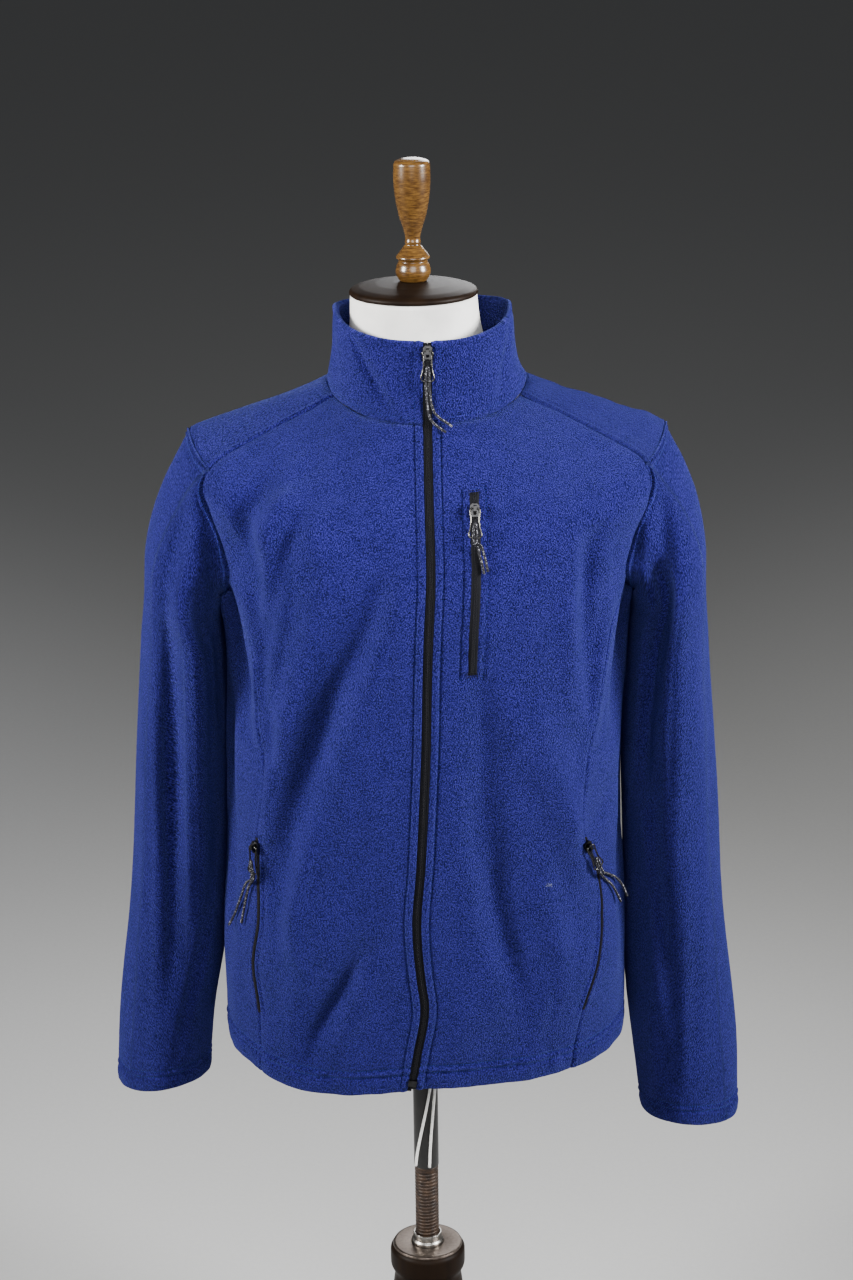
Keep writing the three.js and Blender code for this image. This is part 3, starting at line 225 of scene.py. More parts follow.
# Sections down each sleeve, mm: middle, half width, half depth and tilt in degrees
SLEEVES = {
    1: table(
        "share x y z half depth tilt",
        [
            [0.0, 228, 4, 1125, 84, 62, 0],
            [0.08, 250, 2, 1094, 59, 74, 27],
            [0.17, 258, 3, 1042, 38, 84, 70],
            [0.27, 255.5, 16, 985, 42.5, 85, 88],
            [0.42, 258.5, 28, 864, 48.5, 82, 92],
            [0.6, 266.5, 32, 720, 52.5, 74, 94],
            [0.75, 273, 28, 600, 57, 66, 94],
            [0.9, 282, 16, 505, 56, 56, 94],
            [1.0, 287, 8, 442, 53, 51, 93],
        ],
    ),
    -1: table(
        "share x y z half depth tilt",
        [
            [0.0, 208, 4, 1125, 84, 62, 0],
            [0.08, 231, 2, 1094, 59, 74, 27],
            [0.17, 241, 3, 1041, 39, 84, 72],
            [0.27, 241, 16, 985, 43.5, 85, 88],
            [0.42, 247.5, 28, 872, 48.5, 82, 92],
            [0.6, 256, 32, 740, 52, 74, 95],
            [0.75, 265, 28, 635, 55, 66, 97],
            [0.9, 278, 16, 545, 51, 56, 98],
            [1.0, 283, 8, 492, 50, 51, 96],
        ],
    ),
}
CAP_SHARE = 0.15  # length over which the sleeve's head leaves the armhole's edge

# Sleeve folds and creases: side, turn and share at both ends, half width, height
SLEEVE_FOLDS = [
    [-1, 0.17, 0.04, 0.26, 0.85, 0.055, -8],
    [-1, 0.25, 0.02, 0.34, 0.6, 0.05, 6],
    [-1, 0.34, 0.03, 0.4, 0.4, 0.05, -5],
    [-1, 0.72, 0.05, 0.66, 0.7, 0.06, -7],
    [-1, 0.86, 0.3, 0.78, 0.9, 0.06, 5],
    [1, 0.3, 0.03, 0.37, 0.5, 0.05, -9],
    [1, 0.12, 0.1, 0.2, 0.75, 0.06, 4],
    [1, 0.28, 0.7, 0.33, 0.95, 0.06, -5],
    [1, 0.7, 0.05, 0.66, 0.6, 0.06, -8],
    [1, 0.8, 0.35, 0.76, 0.9, 0.06, 5],
]
SLEEVE_CREASES = [
    [-1, 0.185, 0.06, 0.25, 0.8, 0.03, -3],
    [-1, 0.235, 0.04, 0.3, 0.7, 0.03, 3],
    [-1, 0.31, 0.04, 0.36, 0.42, 0.028, -2.5],
    [-1, 0.1, 0.3, 0.16, 0.9, 0.04, 2],
    [-1, 0.4, 0.5, 0.3, 0.95, 0.035, -2.5],
    [1, 0.315, 0.04, 0.36, 0.48, 0.028, -3],
    [1, 0.26, 0.08, 0.3, 0.6, 0.03, 2.5],
    [1, 0.16, 0.4, 0.24, 0.92, 0.04, -2],
    [1, 0.37, 0.45, 0.3, 0.9, 0.035, 2.5],
    [1, 0.72, 0.1, 0.68, 0.7, 0.035, -2.5],
    [-1, 0.73, 0.1, 0.69, 0.75, 0.035, -2.5],
]


def smooth(x):
    """Smooth step from 0 to 1."""
    k = np.clip(x, 0, 1)
    return k * k * (3 - 2 * k)


def lerp(a, b, k):
    return a + (b - a) * k


def unit(v):
    """Vectors of length one."""
    return v / np.maximum(np.linalg.norm(v, axis=-1, keepdims=True), 1e-12)


def gauss(distance, width):
    """Soft bell: e to the minus square of the distance over the width."""
    return np.exp(-((distance / width) ** 2))


def bell(distance, width):
    """Bell that ends at the width: one minus the square of the way out, squared."""
    return (1 - np.clip(np.abs(distance) / width, 0, 1) ** 2) ** 2


def swell(k, power):
    """Rises from 0 and falls back to 0 on the way from 0 to 1: half a sine, to a power."""
    return np.sin(np.pi * np.clip(k, 0, 1)) ** power


def curve(rows, column, at, key="level"):
    """Smooth curve through a table's column: cubic between rows, slopes from the neighbours."""
    x, y = rows[key], rows[column]
    slope = np.gradient(y, x)
    at = np.clip(at, x[0], x[-1])
    i = np.clip(np.searchsorted(x, at, side="left") - 1, 0, len(x) - 2)
    span = x[i + 1] - x[i]
    k = (at - x[i]) / span
    k2, k3 = k * k, k * k * k
    start = (2 * k3 - 3 * k2 + 1) * y[i] + (k3 - 2 * k2 + k) * span * slope[i]
    return start + (3 * k2 - 2 * k3) * y[i + 1] + (k3 - k2) * span * slope[i + 1]


def ring_point(rings, side, around, level):
    """Point of a ring stack. Across is the half width times the sine of half a turn, along is
    the depth times its cosine, both raised to make the ring squarer than an ellipse. The height
    runs from the side's to the front's or back's, rounded over the shoulder line."""
    side, around, level = np.broadcast_arrays(*(np.asarray(v, float) for v in (side, around, level)))
    power = 2 / curve(rings, "square", level)
    across = np.abs(np.sin(np.pi * around)) ** power
    along = np.abs(np.cos(np.pi * around)) ** power
    in_front = around <= 0.5
    depth = np.where(in_front, -curve(rings, "front", level), curve(rings, "back", level))
    z_end = np.where(in_front, curve(rings, "zFront", level), curve(rings, "zBack", level))
    r = RIDGE_ROUNDING
    drop = (np.hypot(along, r) - r) / (np.hypot(1, r) - r)
    shift = curve(rings, "shift", level)
    sag = 0.0
    if rings is RINGS:
        share = np.clip(1 - level / HEM_SAG_FADES, 0, 1)
        drop_low = HEM_SAG_DROP * bell(around - HEM_SAG_AROUND, HEM_SAG_WIDTH) * share**2
        sag = np.where(side < 0, drop_low, 0)
    zip_x = curve(ZIP_LINE, "x", level) if rings is RINGS else lerp(12.0, 13.0, level)
    pull = np.clip(1 - around / 0.5, 0, 1) ** 2
    x = side * curve(rings, "width", level) * across + shift + (zip_x - shift) * pull
    z = lerp(curve(rings, "zSide", level), z_end, drop) - sag
    return np.stack([x, depth * along, z], -1)


def ring_normal(rings, side, around, level):
    """Outward direction: the cross product of small steps round and up the stack."""
    step = 0.004
    side, around, level = np.broadcast_arrays(*(np.asarray(v, float) for v in (side, around, level)))
    a0, a1 = np.clip(around - step, 0.002, 0.998), np.clip(around + step, 0.002, 0.998)
    l0, l1 = np.clip(level - step, 0, 1), np.clip(level + step, 0, 1)
    round_ = ring_point(rings, side, a1, level) - ring_point(rings, side, a0, level)
    up = ring_point(rings, side, around, l1) - ring_point(rings, side, around, l0)
    return unit(np.cross(round_, up) * side[..., None])


def fold_height(side, around, level):
    """Sum of the folds and creases: each is its height times a swell down its line, times a bell
    across it."""
    height = np.zeros(np.shape(around))
    for s, a0, l0, a1, l1, bend, width, depth in FOLDS:
        k = (l0 - level) / (l0 - l1)
        away = (around - lerp(a0, a1, k) - bend * 4 * k * (1 - k)) * HALF_ROUND
        height += np.where(side == s, depth * swell(k, 0.6) * bell(away, width), 0)
    for s, width, depth, line in CREASES:
        points = np.array(line)[::-1]
        away = (around - np.interp(level, points[:, 1], points[:, 0])) * HALF_ROUND
        k = (level - points[0, 1]) / (points[-1, 1] - points[0, 1])
        height += np.where(side == s, depth * swell(k, 0.7) * bell(away, width), 0)
    return height


def body_point(side, around, level, lift=0.0):
    """Point of the jacket's body: the ring's point, moved out by its folds and the lift."""
    side, around, level, lift = np.broadcast_arrays(side, around, level, lift)
    height = fold_height(side, around, level) + lift
    normal = ring_normal(RINGS, side, around, level)
    return ring_point(RINGS, side, around, level) + normal * height[..., None]


def around_at(rings, level, distance):
    """Share of the half turn that lies a given distance from the zip's middle."""
    width, power = curve(rings, "width", level), curve(rings, "square", level) / 2
    return np.arcsin((distance / width) ** power) / np.pi


def arm_level(share):
    return lerp(ARM_BOTTOM, ARM_TOP, share)


def openness(share):
    """How far the armhole is open at a height: a squarish quarter round, then full."""
    return (1 - (1 - np.minimum(share / ARM_LOW, 1)) ** 2.2) ** (1 / 2.2)


def arm_front(share):
    return 0.5 - lerp(ARM_FRONT, 0.5 - ARM_TIP, smooth(share)) * openness(share)


def arm_back(share):
    k = np.clip((share - ARM_BACK_ROUND) / (1 - ARM_BACK_ROUND), 0, 1)
    high = ARM_TIP + (0.5 + ARM_BACK - ARM_TIP) * np.maximum(1 - k**2.4, 0) ** (1 / 2.4)
    return np.where(share < ARM_BACK_ROUND, 0.5 + ARM_BACK * openness(share), high)


SIDE_TOP = arm_level(SIDE_TOP_SHARE)
BACK_SIDE_TOP = float(arm_back(np.array(SIDE_TOP_SHARE)))
FRONT_SIDE_TOP = float(arm_front(np.array(SIDE_TOP_SHARE)))


def arm_share_under(around):
    """Height in the armhole of its underside at a share of the turn."""
    reach = np.where(around < 0.5, 0.5 - FRONT_SIDE_TOP, BACK_SIDE_TOP - 0.5)
    u = np.clip((np.abs(around - 0.5) / reach) * openness(SIDE_TOP_SHARE), 0, 1)
    return ARM_LOW * (1 - (1 - u**2.2) ** (1 / 2.2))


def princess(side, level):
    """Share of the turn at which the curved front seam lies."""
    seam = curve(PRINCESS, "right" if side > 0 else "left", level)
    return lerp(seam, FRONT_SIDE_TOP, smooth((level - 0.6) / (SIDE_TOP - 0.6)))


def back_side_seam(level):
    return lerp(0.6, BACK_SIDE_TOP, smooth(level / SIDE_TOP))


def shoulder_seam(level):
    k = (level - ARM_TOP) / (1 - ARM_TOP)
    return lerp(ARM_TIP, 0.375, k) + 0.06 * k * (1 - k)


def panel_edge(level, low, arm):
    share = np.clip((level - ARM_BOTTOM) / (ARM_TOP - ARM_BOTTOM), 0, 1)
    high = np.where(level < ARM_TOP, arm(share), shoulder_seam(level))
    return np.where(level <= SIDE_TOP, low, high)


def front_edge(side, level):
    return panel_edge(level, princess(side, level), arm_front)


def back_edge(level):
    return panel_edge(level, back_side_seam(level), arm_back)


def panel_levels(low_rows, arm_rows, yoke_rows):
    """Levels of a panel's rows: even to the side seam's top, closing in on the armhole's top."""
    low = np.linspace(0, SIDE_TOP, low_rows + 1)
    k = np.linspace(0, 1, arm_rows + 1)[1:]
    arm = arm_level(lerp(SIDE_TOP_SHARE, 1, 1 - (1 - k) ** 1.5))
    yoke = np.linspace(ARM_TOP, 1 - SEAM_T, yoke_rows + 1)[1:]
    return np.concatenate([low, arm, yoke])


# Grids, meshes and their finish
def grid_normals(points, closed=False):
    """Normals of a grid of points: the cross product of its steps along rows and columns."""
    if closed:
        wide = np.concatenate([points[:, -2:-1], points, points[:, 1:2]], 1)
        across = np.gradient(wide, axis=1)[:, 1:-1]
    else:
        across = np.gradient(points, axis=1)
    up = np.gradient(points, axis=0)
    return unit(np.cross(across, up))


def arc(points, axis):
    """Length along a grid's rows or columns, from the first point."""
    steps = np.linalg.norm(np.diff(points, axis=axis), axis=-1)
    return np.concatenate([np.zeros_like(np.take(steps, [0], axis)), np.cumsum(steps, axis)], axis)


def cloth_noise(shape, seed):
    """Even random heights, each smoothed with its four neighbours."""
    noise = np.random.default_rng(seed).normal(0, 1, shape)
    around = sum(np.roll(noise, step, axis) for axis in (0, 1) for step in (1, -1))
    noise = 0.5 * noise + 0.125 * around
    return noise / noise.std()


def ripple(u, v, seed, wave, stretch=2.2):
    """Soft waves: a sum of sines that run mostly across the cloth, of about one wave length."""
    rng = np.random.default_rng(seed)
    total = np.zeros(np.shape(u))
    for _ in range(7):
        angle = rng.normal(0, 0.5)
        k = 2 * np.pi / (wave * rng.uniform(0.7, 1.6))
        phase = rng.uniform(0, 2 * np.pi)
        total += np.sin(k * (u * np.cos(angle) + v / stretch * np.sin(angle)) + phase)
    return total / 2.6


def points_at(line, run, at):
    """Points of a line at lengths along it."""
    return np.stack([np.interp(at, run, values) for values in line.T], -1)


def quads(rows, columns, closed=False, start=0):
    """Faces of a grid, four corners each."""
    across = np.arange(columns if closed else columns - 1)
    r, c = np.meshgrid(np.arange(rows - 1), across, indexing="ij")
    a, b = r * columns + c, r * columns + (c + 1) % columns
    return np.stack([a, b, b + columns, a + columns], -1).reshape(-1, 4) + start


def halves(faces):
    """Each face of four corners as two of three."""
    return np.concatenate([faces[:, [0, 1, 2]], faces[:, [0, 2, 3]]])


def end_fans(rows, columns):
    """Triangles from a round grid's first and last row to the two points that follow the grid."""
    k = np.arange(columns)
    n, last, middle = (k + 1) % columns, (rows - 1) * columns, rows * columns
    low = np.stack([n, k, np.full(columns, middle)], 1)
    high = np.stack([last + k, last + n, np.full(columns, middle + 1)], 1)
    return np.concatenate([low, high])


def put_mesh(name, points, faces, material, uv=None, soft=True, corners=None):
    """A mesh object from arrays: points in millimetres, faces of four or three corners."""
    mesh = bpy.data.meshes.new(name)
    points = np.asarray(points, float).reshape(-1, 3) * MM
    faces = np.asarray(faces, np.int32)
    sides = faces.shape[1]
    mesh.vertices.add(len(points))
    mesh.vertices.foreach_set("co", points.ravel())
    mesh.loops.add(faces.size)
    mesh.loops.foreach_set("vertex_index", faces.ravel())
    mesh.polygons.add(len(faces))
    mesh.polygons.foreach_set("loop_start", np.arange(0, faces.size, sides, dtype=np.int32))
    mesh.polygons.foreach_set("loop_total", np.full(len(faces), sides, np.int32))
    mesh.polygons.foreach_set("use_smooth", np.full(len(faces), soft))
    if uv is not None:
        corners = np.asarray(uv, float).reshape(-1, 2)[faces.ravel()]
    if corners is not None:
        layer = mesh.uv_layers.new(name="surface")
        layer.data.foreach_set("uv", (np.asarray(corners, float) * MM).ravel())
    mesh.update(calc_edges=True)
    mesh.validate()
    mesh.materials.append(material)
    obj = bpy.data.objects.new(name, mesh)
    bpy.context.scene.collection.objects.link(obj)
    return obj


def borders(rows, columns, closed):
    """Runs of border points and, for each, the next point inward."""
    grid = np.arange(rows * columns).reshape(rows, columns)
    if closed:
        return [(grid[0], grid[1], False), (grid[-1], grid[-2], True)]

    def walk(g):
        return np.concatenate([g[0], g[1:, -1], g[-1, -2::-1], g[-2:0:-1, 0]])

    r = np.clip(np.arange(rows), 1, rows - 2)
    c = np.clip(np.arange(columns), 1, columns - 2)
    return [(walk(grid), walk(grid[np.ix_(r, c)]), False)]


def shell(outer, inner, uv, closed=False):
    """Points, faces and uv of a closed wall between two grids, with a rounded edge all round."""
    rows, columns = outer.shape[:2]
    size = rows * columns
    faces = [quads(rows, columns, closed), quads(rows, columns, closed, size)[:, ::-1]]
    out, in_ = outer.reshape(-1, 3), inner.reshape(-1, 3)
    flat = uv.reshape(-1, 2)
    points, places, count = [out, in_], [flat, flat], 2 * size
    for ring, next_in, reverse in borders(rows, columns, closed):
        away = unit(out[ring] + in_[ring] - out[next_in] - in_[next_in])
        thick = np.linalg.norm(out[ring] - in_[ring], axis=1, keepdims=True)
        m = count + np.arange(len(ring))
        m2, ring2 = np.roll(m, -1), np.roll(ring, -1)
        first = np.stack([ring, m, m2, ring2], 1)
        second = np.stack([m, ring + size, ring2 + size, m2], 1)
        faces += [first[:, ::-1], second[:, ::-1]] if reverse else [first, second]
        points.append((out[ring] + in_[ring]) / 2 + away * thick * 0.3)
        places.append(flat[ring])
        count += len(ring)
    return np.concatenate(points), np.concatenate(faces), np.concatenate(places)


def facing_out(points, faces):
    """The faces, turned round where they enclose a negative volume."""
    p = points[faces[:, :3]]
    volume = np.einsum("ij,ij->i", p[:, 0], np.cross(p[:, 1], p[:, 2])).sum()
    if faces.shape[1] == 4:
        q = points[faces[:, [0, 2, 3]]]
        volume += np.einsum("ij,ij->i", q[:, 0], np.cross(q[:, 1], q[:, 2])).sum()
    return faces if volume > 0 else faces[:, ::-1]


def tube(path, radius, sides, closed=False):
    """A round profile carried along a path, square to it. Its frame starts from one direction."""
    if closed:
        along = unit(np.roll(path, -1, 0) - np.roll(path, 1, 0))
    else:
        along = unit(np.gradient(path, axis=0))
    first = unit(np.cross(along, TUBE_UP))
    second = np.cross(along, first)
    angle = np.linspace(0, 2 * np.pi, sides, endpoint=False)[:, None]
    ring = np.cos(angle) * first[:, None] + np.sin(angle) * second[:, None]
    radius = np.broadcast_to(radius, len(path))[:, None, None]
    points = (path[:, None] + radius * ring).reshape(-1, 3)
    return points, quads(len(path) + int(closed), sides, True) % len(points)


def resample(points, count):
    """A smooth line through points, at even steps: cubic by length, slopes from neighbours."""
    points = np.asarray(points, float)
    run = arc(points, 0)
    rows = {"run": run, "x": points[:, 0], "y": points[:, 1], "z": points[:, 2]}
    fine = np.linspace(0, run[-1], 12 * len(points))
    line = np.stack([curve(rows, c, fine, "run") for c in "xyz"], -1)
    length = arc(line, 0)
    even = np.linspace(0, length[-1], count)
    return points_at(line, length, even)


def put_tube(name, path, radius, material, sides=10):
    """A tube as a mesh object, its ends closed, with uv along it and round it."""
    points, faces = tube(path, radius, sides)
    points = np.concatenate([points, path[:1], path[-1:]])
    r, c = np.meshgrid(np.arange(len(path) - 1), np.arange(sides), indexing="ij")
    around, up = np.array([0, 1, 1, 0]), np.array([0, 0, 1, 1])
    turn = (c[..., None] + around) / sides / MM
    corners = np.stack([arc(path, 0)[r[..., None] + up], turn], -1).reshape(-1, 4, 2)
    caps = end_fans(len(path), sides)
    tris = np.concatenate([halves(faces), caps])
    places = np.concatenate([halves(corners), np.zeros((len(caps), 3, 2))])
    if not np.array_equal(facing_out(points, tris), tris):
        tris, places = tris[:, ::-1], places[:, ::-1]
    return put_mesh(name, points, tris, material, corners=places)


def turned(name, profile, segments, material, thread=None):
    """A turned piece: each profile point carried round the upright axis. A thread adds a
    triangle wave in height and turn to the radius between its two heights."""
    profile = np.array(profile, float)
    angle = np.linspace(0, 2 * np.pi, segments, endpoint=False)
    radius = np.repeat(profile[:, :1], segments, 1)
    z = np.repeat(profile[:, 1:], segments, 1)
    if thread:
        pitch, depth, low, high = thread
        phase = (z / pitch - angle[None] / (2 * np.pi)) % 1
        fade = smooth((z - low) / 3) * smooth((high - z) / 3)
        radius = radius - depth * fade * smooth(1 - np.abs(2 * phase - 1)) * (radius > 1)
    points = np.stack([radius * np.cos(angle), radius * np.sin(angle), z], -1).reshape(-1, 3)
    tris = halves(quads(len(profile), segments, True))
    p = points[tris]
    area = np.linalg.norm(np.cross(p[:, 1] - p[:, 0], p[:, 2] - p[:, 0]), axis=1)
    tris = tris[area > 1e-9]
    obj = put_mesh(name, points, facing_out(points, tris), material)
    merge(obj)
    return obj


def merge(obj, distance=1e-6):
    """Joins points that lie on each other."""
    work = bmesh.new()
    work.from_mesh(obj.data)
    bmesh.ops.remove_doubles(work, verts=work.verts, dist=distance)
    work.to_mesh(obj.data)
    work.free()


def rounded(profile, radius, steps=3):
    """A profile whose corners are cut by short arcs of about the radius."""
    out = []
    pts = [np.array(p, float) for p in profile]
    for i, p in enumerate(pts):
        if i in (0, len(pts) - 1):
            out.append(p)
            continue
        a, b = pts[i - 1] - p, pts[i + 1] - p
        la, lb = np.linalg.norm(a), np.linalg.norm(b)
        cut = min(radius, la * 0.45, lb * 0.45)
        start, end = p + a / la * cut, p + b / lb * cut
        for k in np.linspace(0, 1, steps + 1):
            out.append((1 - k) ** 2 * start + 2 * k * (1 - k) * p + k * k * end)
    return out


def finish_piece(obj, body, nodes=()):
    """Rides the piece on its body and hides the nodes it stands for."""
    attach(obj, body)
    if nodes:
        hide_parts(*nodes)
    return obj


# Materials
def new_material(name, color, roughness, metallic=0.0, **sockets):
    """A material with its even values set straight on the shader."""
    mat = bpy.data.materials.new(name)
    mat.use_nodes = True
    shader = mat.node_tree.nodes["Principled BSDF"]
    shader.inputs["Base Color"].default_value = (*color, 1)
    shader.inputs["Roughness"].default_value = roughness
    shader.inputs["Metallic"].default_value = metallic
    for socket, value in sockets.items():
        shader.inputs[socket.replace("_", " ")].default_value = value
    return mat


class Nodes:
    """Short names for the nodes that a finish is made of."""

    def __init__(self, mat):
        self.tree = mat.node_tree
        self.shader = self.tree.nodes["Principled BSDF"]

    def link(self, a, b):
        self.tree.links.new(a, b)

    def add(self, kind, source, socket, **values):
        """A node with its inputs set and one of them fed by the source."""
        node = self.tree.nodes.new(kind)
        for key, value in values.items():
            node.inputs[key.replace("_", " ")].default_value = value
        self.link(source, node.inputs[socket])
        return node

    def place(self, scale=(1, 1, 1), use_uv=False, shift=(0, 0, 0)):
        """Places in the piece, or on its cloth, stretched and shifted."""
        coords = self.tree.nodes.new("ShaderNodeTexCoord").outputs["UV" if use_uv else "Object"]
        return self.add("ShaderNodeMapping", coords, "Vector", Scale=scale, Location=shift).outputs["Vector"]

    def split(self, vector):
        return self.add("ShaderNodeSeparateXYZ", vector, 0).outputs

    def noise(self, vector, scale, detail, roughness=0.5):
        values = {"Scale": scale, "Detail": detail, "Roughness": roughness}
        return self.add("ShaderNodeTexNoise", vector, "Vector", **values).outputs["Fac"]

    def cells(self, vector, scale):
        return self.add("ShaderNodeTexVoronoi", vector, "Vector", Scale=scale).outputs["Distance"]

    def math(self, operation, a, b=None):
        node = self.tree.nodes.new("ShaderNodeMath")
        node.operation = operation
        for i, value in enumerate((a, b)):
            if isinstance(value, (int, float)):
                node.inputs[i].default_value = value
            elif value is not None:
                self.link(value, node.inputs[i])
        return node.outputs[0]

    def total(self, *parts):
        """Sum of values, each times its weight."""
        result = self.math("MULTIPLY", *parts[0])
        for value, weight in parts[1:]:
            result = self.math("ADD", result, self.math("MULTIPLY", value, weight))
        return result

    def wave(self, value, rate):
        """Sine of a value times a rate."""
        return self.math("SINE", self.math("MULTIPLY", value, rate))

    def tint(self, fac, *stops):
        """Colours the surface by a value, from stop to stop."""
        node = self.add("ShaderNodeValToRGB", fac, "Fac")
        elements = node.color_ramp.elements
        while len(elements) < len(stops):
            elements.new(0.5)
        for element, (at, color) in zip(elements, stops):
            element.position = at
            element.color = (*color, 1)
        self.link(node.outputs["Color"], self.shader.inputs["Base Color"])

    def relief(self, height, distance, strength):
        """Fine relief of the surface."""
        node = self.add("ShaderNodeBump", height, "Height", Distance=distance, Strength=strength)
        self.link(node.outputs["Normal"], self.shader.inputs["Normal"])


def shade(color, share):
    """A colour darkened to a share of itself."""
    return tuple(c * share for c in color)


def fleece(name, color, nap):
    """Napped fleece: small upright clumps of pile, fine fibre on them, and slow shifts of tone where the pile
    lies another way. The clumps' raised tops are painted lighter and the hollows between them darker: painted
    highlight and painted shade on the pile, over its random tone."""
    mat = new_material(
        name, color, 1.0,
        Sheen_Weight=0.15, Sheen_Roughness=0.5, Sheen_Tint=(0.3, 0.4, 1.0, 1.0),
        Specular_IOR_Level=0.0,
    )
    n = Nodes(mat)
    pile = n.place((1.0, 0.6, 1.0), True, (0.37, 0.21, 0))
    clumps = n.noise(pile, 1000, 2.0, 0.55)
    fibre = n.noise(pile, 1900, 2.0, 0.6)
    lay = n.noise(n.place(use_uv=True), 34, 4.0, 0.6)
    pebbles = n.cells(pile, 760)
    # Painted highlight: the lightest stop, on the raised clumps; the darkest stop is painted shade in the
    # hollows between them
    light = tuple(min(c * k + 0.002, 1) for c, k in zip(color, (2.9, 2.8, 2.3)))
    tone = n.total((clumps, 0.7), (fibre, 0.18), (lay, 0.08), (pebbles, -0.16))
    n.tint(tone, (0.29, shade(color, 0.26)), (0.4, color), (0.51, light))
    n.relief(n.total((clumps, 1.3), (pebbles, -1.0), (fibre, 0.3)), nap, 0.9)
    return mat


def woven(name, color, pitch, depth, roughness=0.75):
    """Plain weave: two sets of crossing ribs with a little unevenness. The ribs' crowns are painted lighter,
    a painted highlight, over random tone.
    """
    mat = new_material(name, color, roughness, Specular_IOR_Level=0.12)
    n = Nodes(mat)
    vector = n.place()
    x, y, z = n.split(vector)
    rate = 2 * np.pi / pitch
    weave = n.math("MULTIPLY", n.wave(n.math("ADD", x, y), rate), n.wave(z, rate))
    height = n.total((weave, 0.35), (n.noise(vector, 900, 2.0), 1.0))
    # Painted highlight: the lighter tone that the ribs' crowns take, mixed with random unevenness
    lit = tuple(min(c * 1.8 + 0.0006, 1) for c in color)
    n.tint(height, (0.2, color), (0.9, lit))
    n.relief(height, depth, 0.6)
    return mat


def worn_metal(name, color, roughness):
    """Plated metal: small changes of gloss, fine scratches and darker spots."""
    mat = new_material(name, color, roughness, 1.0)
    n = Nodes(mat)
    cloud = n.noise(n.place(), 260, 4.0, 0.6)
    gloss = {"To_Min": roughness * 0.6, "To_Max": roughness * 1.5}
    rough = n.add("ShaderNodeMapRange", cloud, "Value", **gloss)
    n.link(rough.outputs[0], n.shader.inputs["Roughness"])
    n.tint(cloud, (0.3, shade(color, 0.55)), (0.6, color))
    n.relief(n.noise(n.place((1, 1, 0.08)), 2600, 2.0), 0.00006, 0.4)
    return mat


def flecked_cord(name, base, fleck, share):
    """Braided cord: crossing diagonal strands along and round the cord, some of them pale."""
    mat = new_material(name, base, 0.7, Specular_IOR_Level=0.3)
    n = Nodes(mat)
    u, v, _ = n.split(n.place(use_uv=True))
    along, turns = n.math("MULTIPLY", u, BRAID_RATE), n.math("MULTIPLY", v, 2.0)
    one, two = (n.wave(n.math(way, along, turns), 2 * np.pi) for way in ("ADD", "SUBTRACT"))
    braid = n.math("MULTIPLY", one, two)
    spots = n.noise(n.place(), 620, 1.0)
    pale = n.math("GREATER_THAN", n.total((spots, 1.0), (braid, 0.14)), share)
    n.tint(pale, (0.45, base), (0.55, fleck))
    n.relief(braid, 0.00035, 0.8)
    return mat


def lacquered_wood(name, dark, light, roughness, grain, coat):
    """Turned wood under lacquer: long streaks of grain, and slow clouds of tone."""
    gloss = {"Coat_Weight": coat, "Coat_Roughness": 0.16, "Specular_IOR_Level": 0.08 + coat / 2}
    mat = new_material(name, dark, roughness, **gloss)
    n = Nodes(mat)
    streak = n.noise(n.place((1, 1, grain)), 120, 5.0, 0.62)
    cloud = n.noise(n.place(), 24, 3.0)
    n.tint(n.total((streak, 0.75), (cloud, 0.3)), (0.42, dark), (0.66, light))
    n.relief(streak, 0.0002, 0.3)
    return mat


def plain_cover(name, color):
    """Jersey cover pulled over the form: fine ribs and faint marks."""
    mat = new_material(name, color, 0.85, Sheen_Weight=0.15, Specular_IOR_Level=0.2)
    n = Nodes(mat)
    n.tint(n.noise(n.place(), 30, 4.0), (0.35, shade(color, 0.86)), (0.6, color))
    n.relief(n.noise(n.place((1, 1, 0.25)), 1500, 2.0), 0.0003, 0.4)
    return mat


def coarse_metal(name, dark, light, roughness, metallic):
    """Browned or painted metal: mottled, with a rough skin."""
    mat = new_material(name, dark, roughness, metallic)
    n = Nodes(mat)
    vector = n.place()
    n.tint(n.noise(vector, 140, 5.0, 0.65), (0.38, dark), (0.66, light))
    n.relief(n.noise(vector, 900, 3.0), 0.0003, 0.4)
    return mat


BRAID_RATE = 380.0  # strands that cross a metre of cord
MATERIALS = {}


